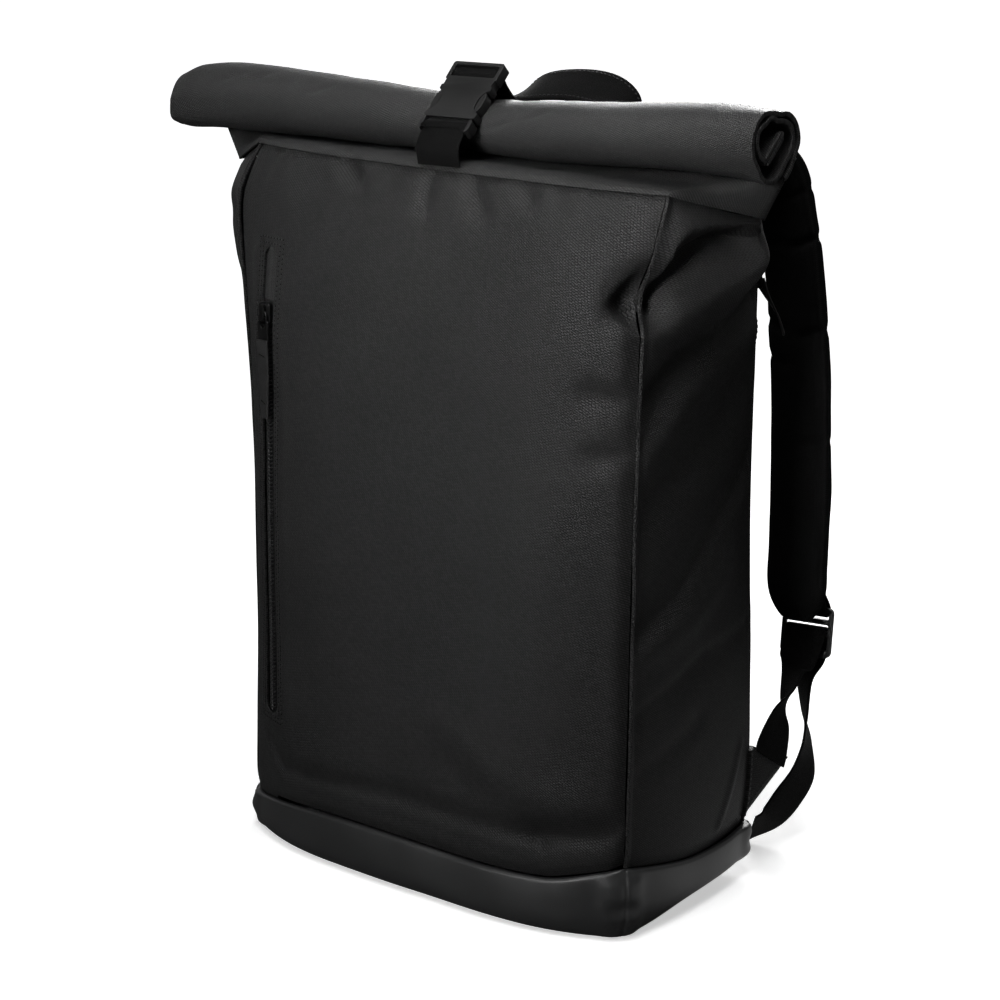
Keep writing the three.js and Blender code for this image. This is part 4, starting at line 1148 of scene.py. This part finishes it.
def zip_strip(name, half, low, high, lift, finish, slot, node, ridge):
    """A strip of cloth in the slot, lift off the panel's own line, with a ridge along its middle."""

    def place(u, v):
        x = lerp(-half, half, u)
        return in_slot(x, lerp(low, high, v), lift + ridge * bump(x, 2.2))[0]

    made, _, _ = grid(name, 14, 120, place, lambda u, v: (u * 2 * half, v * (high - low)))
    return cloth_piece(made, 0.8, 50, finish, slot, node)


def teeth(name, line, outward, pitch):
    """Two rows of teeth that lean into each other along a chain."""
    at, along, out = evenly(line, outward, pitch / 2, 0.5)
    sideways = unit(np.cross(unit(along), unit(out)))
    inwards = sideways * np.where(np.arange(len(at)) % 2, 1, -1)[:, None]
    made = copies(name, TOOTH, at + inwards * 1.5, inwards + unit(along) * 0.55, out)
    return dress(made, COIL, "zip")


zip_low, zip_high = FRONT_ZIP["low"], FRONT_ZIP["high"]
window, tape_half = FRONT_ZIP["window"], FRONT_ZIP["slot"] + 2
zip_strip("zip_tape_front", tape_half, zip_low - 3, window, -2.1, ZIP_TAPE, "zip", "front_zip", 0.3)
zip_strip("zip_window_cloth", tape_half, window - 1, zip_high + 3, -1.7, PAINTED_LIGHT_TWILL, "cloth", "zip_garage", 0.5)
teeth("zip_chain", *in_slot(0, np.linspace(zip_low + 1.5, FRONT_ZIP["slider"], 160), -0.7), 2.3)


def side_zip():
    half, low, high = SIDE_ZIP["half"], SIDE_ZIP["low"], SIDE_ZIP["high"]

    def place(u, v):
        across = SIDE_ZIP["middle"] + lerp(-half, half, u) / FRONT_SPAN
        return off_line("back", across, lerp(low, high, v), 1.7)[0]

    made, _, _ = grid("zip_tape_side", 10, 100, place, lambda u, v: (u * 2 * half, v * (high - low)))
    cloth_piece(made, 1.2, 50, ZIP_TAPE, "zip", "side_zip")
    z = np.linspace(low + 2, SIDE_ZIP["slider"], 140)
    teeth("side_zip_chain", *off_line("back", np.full_like(z, SIDE_ZIP["middle"]), z, 2.1), 2.2)


side_zip()


# Hard pieces: copies of their solids, merged and given rounded edges
def hard_piece(node, width, finish, slot, segments=3):
    made = bpy.data.objects.new(node + "_shape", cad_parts[node].data.copy())
    bpy.context.scene.collection.objects.link(made)
    with editing(made):
        bpy.ops.mesh.select_all(action="SELECT")
        bpy.ops.mesh.remove_doubles(threshold=1e-6)
        bpy.ops.mesh.dissolve_limited(angle_limit=math.radians(2))
    round_edges(made, width, segments, 35)
    smooth_shade(made, 35)
    return dress(made, finish, slot, node)


# Buckle, in its own frame: x across, y up its length, z outwards
def stretch(made, size, middle):
    """Stretches a new primitive and moves it to its middle, in metres."""
    with editing(made):
        bpy.ops.mesh.select_all(action="SELECT")
        bpy.ops.transform.resize(value=tuple(size))
        bpy.ops.transform.translate(value=tuple(middle))
    return made


def block(low, high, corner=0.0):
    """A box between two corners, its upright edges rounded."""
    bpy.ops.mesh.primitive_cube_add(size=1)
    low, high = np.array(low, float) * MM, np.array(high, float) * MM
    made = stretch(bpy.context.object, high - low, (low + high) / 2)
    if corner:
        points = read_points(made)
        runs = [points[e.vertices[0]] - points[e.vertices[1]] for e in made.data.edges]
        select_only(made, "edges", [bool(abs(run[:2]).max() < 1e-7) for run in runs])
        with editing(made):
            bpy.ops.mesh.bevel(offset=corner * MM, segments=6)
    return made


def oval(x, y, half_x, half_y, low, high):
    """An upright oval post."""
    bpy.ops.mesh.primitive_cylinder_add(vertices=40, radius=1, depth=1)
    size, middle = np.array((half_x, half_y, high - low)), np.array((x, y, (low + high) / 2))
    return stretch(bpy.context.object, size * MM, middle * MM)


def carve(made, cutters):
    for cutter in cutters:
        apply_modifier(made, "BOOLEAN", operation="DIFFERENCE", solver="EXACT", object=cutter)
        bpy.data.meshes.remove(cutter.data)
    return made


def join(pieces):
    make_active(pieces[0])
    for piece in pieces[1:]:
        piece.select_set(True)
    bpy.ops.object.join()
    return pieces[0]


def set_in_frame(made, name, place, edge, node, finish=PLASTIC, slot="plastic"):
    """Rounds the edges of a moulded piece and sets it in its frame, given in millimetres."""
    round_edges(made, edge, 3, 35)
    turned = np.array(place.to_3x3())
    write_points(made, read_points(made) @ turned.T + np.array(place.translation) * MM)
    made.name = made.data.name = name
    smooth_shade(made, 35)
    return dress(made, finish, slot, node)


BUCKLE_HALF = 17.3
SOCKET_LOW, SOCKET_HIGH, SOCKET_THICK = 9.6, 47.6, 6
PLUG_LOW, PLUG_HIGH, PLUG_THICK = 0.6, 9.1, 6.4
ARMS_AT = 21
THROUGH = 9
slot_reach = CLOSURE_WEB / 2 + 0.5


def buckle_socket():
    """A flat plate, open below for the plug, with a window that shows the webbing round its inner bar."""
    half, bar_at = SOCKET_THICK / 2, BUCKLE["bar"]
    plate = block((-BUCKLE_HALF, SOCKET_LOW, -half), (BUCKLE_HALF, SOCKET_HIGH, half), 1.6)
    mouth = block((-15.4, SOCKET_LOW - 3, -2.1), (15.4, 33, 2.1))
    window = block((-slot_reach, 37.5, -THROUGH), (slot_reach, 45.4, THROUGH), 1)
    under_edge = block((-slot_reach, 44.4, -THROUGH), (slot_reach, 52, -0.3))
    cutters = [mouth, window, under_edge]
    edges = (BUCKLE_HALF, -BUCKLE_HALF)
    cutters += [oval(x + math.copysign(0.6, x), ARMS_AT, 5.4, 7.6, -THROUGH, THROUGH) for x in edges]
    cutters += [block((x - 1.1, 31.5, -THROUGH), (x + 1.1, 36, THROUGH)) for x in edges]
    bar = block((-slot_reach - 1, bar_at - 1.1, -1.1), (slot_reach + 1, bar_at + 1.1, 1.1))
    return join([carve(plate, cutters), bar])


def buckle_plug():
    """Two shoulders and the bar between them, with the stems and arms that enter the plate."""
    half = PLUG_THICK / 2
    shoulders = block((-BUCKLE_HALF, PLUG_LOW, -half), (BUCKLE_HALF, PLUG_HIGH, half), 2.6)
    between = block((-slot_reach, -3, -THROUGH), (slot_reach, 2.9, THROUGH))
    slot = block((-slot_reach, 6.3, -THROUGH), (slot_reach, 8.3, THROUGH))
    over_bar = block((-slot_reach, -3, 0.8), (slot_reach, 12, THROUGH))
    under_bar = block((-slot_reach, -3, -THROUGH), (slot_reach, 6.4, -1.7))
    carve(shoulders, [between, slot, over_bar, under_bar])
    web = block((-14.8, 8.6, -2), (14.8, 13, 0.8))
    stems = [block((s * 11.2 - 1.6, 12.6, -2), (s * 11.2 + 1.6, 27, 2)) for s in (1, -1)]
    arms = [oval(s * 15.2, ARMS_AT, 1.9, 6.4, -2.8, 2.8) for s in (1, -1)]
    return join([shoulders, web, *stems, *arms])


set_in_frame(buckle_socket(), "buckle_socket_shape", buckle_place, 0.6, "buckle_socket")
set_in_frame(buckle_plug(), "buckle_plug_shape", buckle_place, 0.6, "buckle_plug")
for side in ("right", "left"):
    hard_piece("adjuster_" + side, 0.5, PLASTIC, "plastic")
hard_piece("side_zip_slider", 0.3, METAL, "metal", 2)
hard_piece("side_zip_puller", 0.25, METAL, "metal", 2)


# Ribbon pulls, in the frames of their sliders
def panel_frame(panel, across, z, out):
    across, z = np.array(across, float), np.array(z, float)
    outward = Vector(normals(PANEL_POINT[panel], across, z))
    at = Vector(PANEL_POINT[panel](across, z)) + outward * out
    up = (Vector((0, 0, 1)) - outward * outward.z).normalized()
    turned = Matrix((up.cross(outward), up, outward)).transposed().to_4x4()
    return Matrix.Translation(at) @ turned


def zip_slider():
    body = block((-4.4, -7, -1.5), (4.4, 6, 1.1), 2.6)
    bridge = block((-1.5, -4.6, 0.6), (1.5, 5, 3.4), 1)
    return join([body, carve(bridge, [block((-3, -2.8, 1.1), (3, 2.2, 2.5))])])


def zip_puller():
    """A flat bar with a ring at its top and a square hole for the ribbon at its foot."""
    bar = block((-4.2, -20, 1.3), (4.2, -4.5, 2.7), 1.4)
    ring = oval(0, -2.8, 3.4, 4.2, 1.3, 2.7)
    carve(ring, [oval(0, -2.4, 1.9, 2.6, -THROUGH, THROUGH)])
    ribbon_hole = block((-2, -18.4, -THROUGH), (2, -15.4, THROUGH))
    return join([carve(bar, [ribbon_hole, oval(0, -7.4, 1.2, 1.4, -THROUGH, THROUGH)]), ring])


def ribbon_rows(place, rows):
    turned = place.to_3x3()
    return [(*(place @ Vector(row[:3])), *(turned @ Vector(row[3:]))) for row in rows]


front_share = float(across_of_x(FRONT_ZIP["x"], np.array(float(FRONT_ZIP["slider"]))))
on_chain = panel_frame("front", front_share, FRONT_ZIP["slider"], 1.2)
pull_place = Matrix.Translation(on_chain.translation) @ Matrix.Rotation(math.radians(90), 4, "X")
set_in_frame(zip_slider(), "zip_slider_shape", pull_place, 0.3, "zip_slider", METAL, "metal")
set_in_frame(zip_puller(), "zip_puller_shape", pull_place, 0.25, "zip_puller", METAL, "metal")
zip_ribbon = ribbon_rows(pull_place, FRONT_RIBBON)
side_ribbon = ribbon_rows(panel_frame("back", SIDE_ZIP["middle"], SIDE_ZIP["slider"], 3.7), SIDE_RIBBON)
band("ribbon_pull_front", zip_ribbon, 9.6, 1.2, 50, "zip_ribbon", RIBBON)
band("ribbon_pull_side", side_ribbon, 8, 1.2, 40, "side_zip_ribbon", RIBBON)


# Shoulder straps: padded, with sewn lines along the middle and creases beside them
# Creases: place along the strap, side of the sewn lines, depth
STRAP_CREASES = [
    (88, 1, 1.6),
    (102, -1, 2.2),
    (116, -1, 1.8),
    (118, 1, 1.2),
    (145, -1, 2.4),
    (147, 1, 2.2),
    (195, -1, 1.5),
    (199, 1, 1.4),
    (216, -1, 1.4),
    (262, 1, 1.0),
]


def shoulder_strap():
    count, around = 190, 56
    at, _, side, normal = sweep(SHOULDER, count + 1)
    run = run_length(at)
    share = np.linspace(0, 1, count + 1)
    left = np.minimum((1 - share) * 9, 1)
    half_width = STRAP_WIDTH / 2 * np.sqrt(1 - (1 - 0.46**2) * (1 - left) ** 2)
    half_thick = STRAP_THICK / 2 * lerp(0.45, 1, left) * lerp(0.7, 1, smooth(share, 0, 0.06))

    def section(u, v):
        i = np.rint(v * count).astype(int)
        angle = 2 * np.pi * u
        across = half_width[i] * squared(np.cos(angle), 0.5)
        out = half_thick[i] * squared(np.sin(angle), 0.62)
        edge = half_width[i] - np.abs(across)
        sewn = -2.2 * bump(np.abs(across) - 5.4, 1.9) - 0.7 * bump(edge - 4, 1.8)
        pucker = sum(
            -depth * bump(run[i] - place + 0.006 * across**2, 2.4) * smooth(hand * across, 3, 9)
            for place, hand, depth in STRAP_CREASES
        )
        slack = 0.6 * drift(run[i], across, 22, 62)
        return across, out + np.sign(out) * (sewn + pucker + slack) * smooth(np.abs(out), 0.5, 3), i

    def place(u, v):
        across, out, i = section(u, v)
        return at[i] + side[i] * across[:, None] + normal[i] * out[:, None]

    def cloth(u, v):
        across, _, i = section(u, v)
        return across, run[i]

    made, _, _ = grid("strap_pad_right", around, count, place, cloth)
    close_up(made)
    smooth_shade(made, 60)
    return made


strap = shoulder_strap()
for made, side in ((strap, "right"), (mirrored(strap, "strap_pad_left"), "left")):
    dress(made, SHADED_PAD_CLOTH, "padded", "shoulder_strap_" + side)

strand_reach = ADJUSTER["thick"] / 2 + WEB / 2 + 3 * GAP
lock_turn = turn_rows(adjuster_place, -0.6, strand_reach, 110, -110, 4, -1)
tab_turn = turn_rows(adjuster_place, 13.7, strand_reach, 75, 285, 4, -1)
STRAP_TAB = [*TAB_DOWN, *tab_turn, *TAB_UP]
STRAP_STRANDS = [*LOAD_STRAND, *lock_turn, *TAIL]
tab = band("tab_web_right", STRAP_TAB, STRAP_WEB, WEB, 60, "strap_tab_right")
strands = band("strap_web_right", STRAP_STRANDS, STRAP_WEB, WEB, 180, "webbing_right", slant=0.45)
dress(mirrored(tab, "tab_web_left"), WEBBING, "webbing", "strap_tab_left")
dress(mirrored(strands, "strap_web_left"), WEBBING, "webbing", "webbing_left")


# Wings: folded cloth triangles that hold the webbing to the back seams
def wing():
    """Sewn flat to the side panel beside the back seam, then out to the tip."""
    low, high, lap = WING["low"] + 8, WING["high"], 7 / SIDE_SPAN
    tip = np.array(WING["tip"], float)

    def place(u, v, lift=1.3):
        z = lerp(low, high, v)
        on_side = np.clip(u / 0.2, 0, 1)
        flat_on, outward = on_panel("right", lerp(1 - lap, 1.0, on_side), z, 0.9 + lift)
        out = np.clip((u - 0.2) / 0.8, 0, 0.985)[:, None]
        puff = 0.8 * np.sin(np.pi * out[:, 0]) * np.sin(np.pi * v)
        return lerp(flat_on, tip, out) + outward * puff[:, None]

    made, _, _ = grid("wing_cloth_right", 36, 30, place, lambda u, v: (u * 36, v * 45))
    thicken(made, 2.4)
    round_edges(made, 0.6, 2, 60)
    close_up(made, 1e-7)
    smooth_shade(made, 60)
    steps = np.linspace(0, 1, 40)
    outwards = 0.22 + 0.6 * steps
    lines = [(np.full_like(steps, share), steps) for share in (0.04, 0.17)]
    lines += [(outwards, np.full_like(steps, share)) for share in (0.95, 0.82)]
    lines.append((outwards, 0.1 + 0.3 * steps))
    runs = []
    for u, v in lines:
        line = place(u, v, 1.45)
        across = place(np.clip(u + 0.02, 0, 1), v) - place(np.clip(u - 0.02, 0, 1), v)
        upward = place(u, np.clip(v + 0.02, 0, 1)) - place(u, np.clip(v - 0.02, 0, 1))
        runs.append((line, unit(np.cross(across, upward))))
    return made, runs


wing_right, wing_runs = wing()
dress(wing_right, TWILL, "cloth", "wing_right")
dress(mirrored(wing_right, "wing_cloth_left"), TWILL, "cloth", "wing_left")


# Stitching
STITCH_LIFT = 0.05


def frame_run(low, high, out):
    """A line round the zip's slot, out from its edge, on the front panel."""
    half = FRONT_ZIP["slot"] + out
    foot, top = low - out, high + out
    x = np.array([-half, -half, half, half, -half])
    z = np.array([foot, top, top, foot, foot])
    run = run_length(np.stack([x, z, 0 * x], axis=-1))
    s = np.linspace(0, run[-1], 420)
    x, z = np.interp(s, run, x), np.interp(s, run, z)
    return on_panel("front", across_of_x(FRONT_ZIP["x"] + x, z), z, STITCH_LIFT)


def seam_run(panel, across, low, high):
    return on_panel(panel, across, np.linspace(low, high, 200), STITCH_LIFT)


zip_runs = [frame_run(zip_low, zip_high, 1.8), frame_run(zip_low, zip_high, 4.8)]
sew("zip_stitching", zip_runs, "cloth", 2.8)
# Painted shade of the needle holes: near-black flat dots between the stitches
sew("zip_needle_holes", zip_runs, "cloth", 2.8, HOLE, HOLE_SHADE, 1.0)
top_line = np.linspace(0.02, 0.98, 240)
sew("collar_stitching", [on_panel("front", top_line, SEAM_HEIGHT - 4.5, STITCH_LIFT)], "cloth", 3.0)
side_runs = [seam_run("right", 0.9 / SIDE_SPAN, 52, 402), seam_run("left", 1 - 3 / SIDE_SPAN, 52, 402)]
sew("side_seam_stitching", side_runs, "cloth", 3.2)
back_runs = [seam_run("right", 1 - 6 / SIDE_SPAN, 48, 400), seam_run("left", 6 / SIDE_SPAN, 48, 400)]
sew("back_seam_stitching", back_runs, "cloth", 3.2)
handle_runs = [lift_run(HANDLE, a, s * 1.1, 0, 1) for a in (-12, 12) for s in (1, -1)]
sew("handle_stitching", handle_runs, "webbing", 3.0)
strap_runs = [lift_run(SHOULDER, a, s * 3.1, 0.03, 0.86, 400) for a in (-5.4, 5.4) for s in (1, -1)]
strap_sewing = sew("strap_stitching_right", strap_runs, "padded", 3.4)
dress(mirrored(strap_sewing, "strap_stitching_left"), THREAD, "padded")
wing_sewing = sew("wing_stitching_right", wing_runs, "cloth", 2.8)
dress(mirrored(wing_sewing, "wing_stitching_left"), THREAD, "cloth")


def tack_run(rows, place, reach, lift):
    """A short row of stitches across a band, at a share of its length."""
    at, travel, side, normal = (part[int(place * 99)] for part in sweep(rows, 100))
    steps = np.linspace(-reach, reach, 12)[:, None]
    outward = np.repeat(normal[None] * np.sign(lift), len(steps), 0)
    return at + side * steps + travel * steps * 0.3 + normal * lift, outward


# The ribbon's tacks take the near-black hole finish: painted shade, so they read as dark holes.
ribbon_runs = [tack_run(zip_ribbon, place, 2.4, s * 0.62) for place in (0.3, 0.82) for s in (1, -1)]
sew("ribbon_stitching", ribbon_runs, "webbing", 1.4, finish=HOLE_SHADE)

# Floor, white to the camera and dull to the bag, with a glow beside the boot that only its sheen shows
# Ways from the bag: behind it and beside its right side, as the camera sees them
BEHIND = (-0.62, 0.785, 0)
BESIDE = (0.8, 0.6, 0)


def pale_floor():
    made, tree, shader = new_finish("pale_floor")
    spot = add_node(tree, "ShaderNodeTexCoord").outputs["Object"]
    away = add_node(tree, "ShaderNodeVectorMath", {0: spot}, operation="LENGTH").outputs["Value"]
    lit = ramp(tree, away, 0.16, 0.36, 0.5, 1.05)
    feed(tree, shader, {"Base Color": grey(0.9), "Roughness": 0.7})
    feed(tree, shader, {"Emission Color": grey(1.0), "Emission Strength": lit})
    beside = along_way(tree, spot, BESIDE)
    patch = times(tree, ramp(tree, beside, 0.1, 0.16, 0.0, 0.5), ramp(tree, beside, 0.24, 0.4, 1.0, 0.0))
    rays = add_node(tree, "ShaderNodeLightPath").outputs
    glow = add_node(tree, "ShaderNodeEmission", {"Strength": times(tree, patch, rays["Is Glossy Ray"])})
    dull = add_node(tree, "ShaderNodeBsdfDiffuse", {"Color": grey(0.12)})
    bounce = add_node(tree, "ShaderNodeAddShader", {0: glow.outputs["Emission"], 1: dull.outputs["BSDF"]})
    seen = {"Fac": rays["Is Camera Ray"], 1: bounce.outputs["Shader"], 2: shader.outputs["BSDF"]}
    mixed = add_node(tree, "ShaderNodeMixShader", seen)
    feed(tree, tree.nodes["Material Output"], {"Surface": mixed.outputs["Shader"]})
    return made


bpy.ops.mesh.primitive_plane_add(size=12, location=(0, 0, -0.0004))
floor = bpy.context.object
floor.name = "floor"
floor.data.materials.append(pale_floor())

# Lights: name, place, aim, size, power, spread in degrees
LIGHTS = [
    ("key", (0.0, -0.55, 1.05), (0.02, -0.05, 0.42), 0.5, 2.4, 180),
    ("fill", (0.12, -1.25, 0.72), (0.08, -0.05, 0.5), 0.5, 1.75, 40),
    ("low", (-0.1, -1.2, 0.25), (0.02, -0.06, 0.03), 0.5, 0.2, 30),
    ("top", (0.3, -0.25, 1.3), (0.1, -0.02, 0.4), 0.6, 8.5, 180),
    ("right", (1.6, 0.3, 0.7), (0.1, 0, 0.25), 0.9, 0.9, 180),
    ("back", (-0.5, 1.0, 0.8), (0.16, -0.03, 0.45), 0.5, 1.6, 60),
    ("rear", (-0.6, 1.5, 0.7), (0, 0.1, 0.22), 0.8, 0.6, 60),
]
for name, at, aim, size, power, spread in LIGHTS:
    bpy.ops.object.light_add(type="AREA", location=at)
    light = bpy.context.object
    light.name = name
    light.data.size = size
    light.data.energy = power
    light.data.spread = math.radians(spread)
    light.rotation_euler = (Vector(aim) - Vector(at)).to_track_quat("-Z", "Y").to_euler()

# Air: white to the camera, with a pale sweep behind the bag that only its sheen shows
world = bpy.data.worlds.new("studio")
world.use_nodes = True
air = world.node_tree
rays = add_node(air, "ShaderNodeLightPath").outputs
way = add_node(air, "ShaderNodeTexCoord").outputs["Generated"]
pale_sweep = ramp(air, along_way(air, way, BEHIND), -0.1, 0.8, 0.04, 0.35)
reflected = add_node(air, "ShaderNodeMix", {0: rays["Is Glossy Ray"], 2: 0.05, 3: pale_sweep}).outputs[0]
seen = add_node(air, "ShaderNodeMix", {0: rays["Is Camera Ray"], 2: reflected, 3: 1.1}).outputs[0]
feed(air, air.nodes["Background"], {"Color": grey(1.0), "Strength": seen})
bpy.context.scene.world = world
bpy.context.scene.view_settings.view_transform = "Standard"
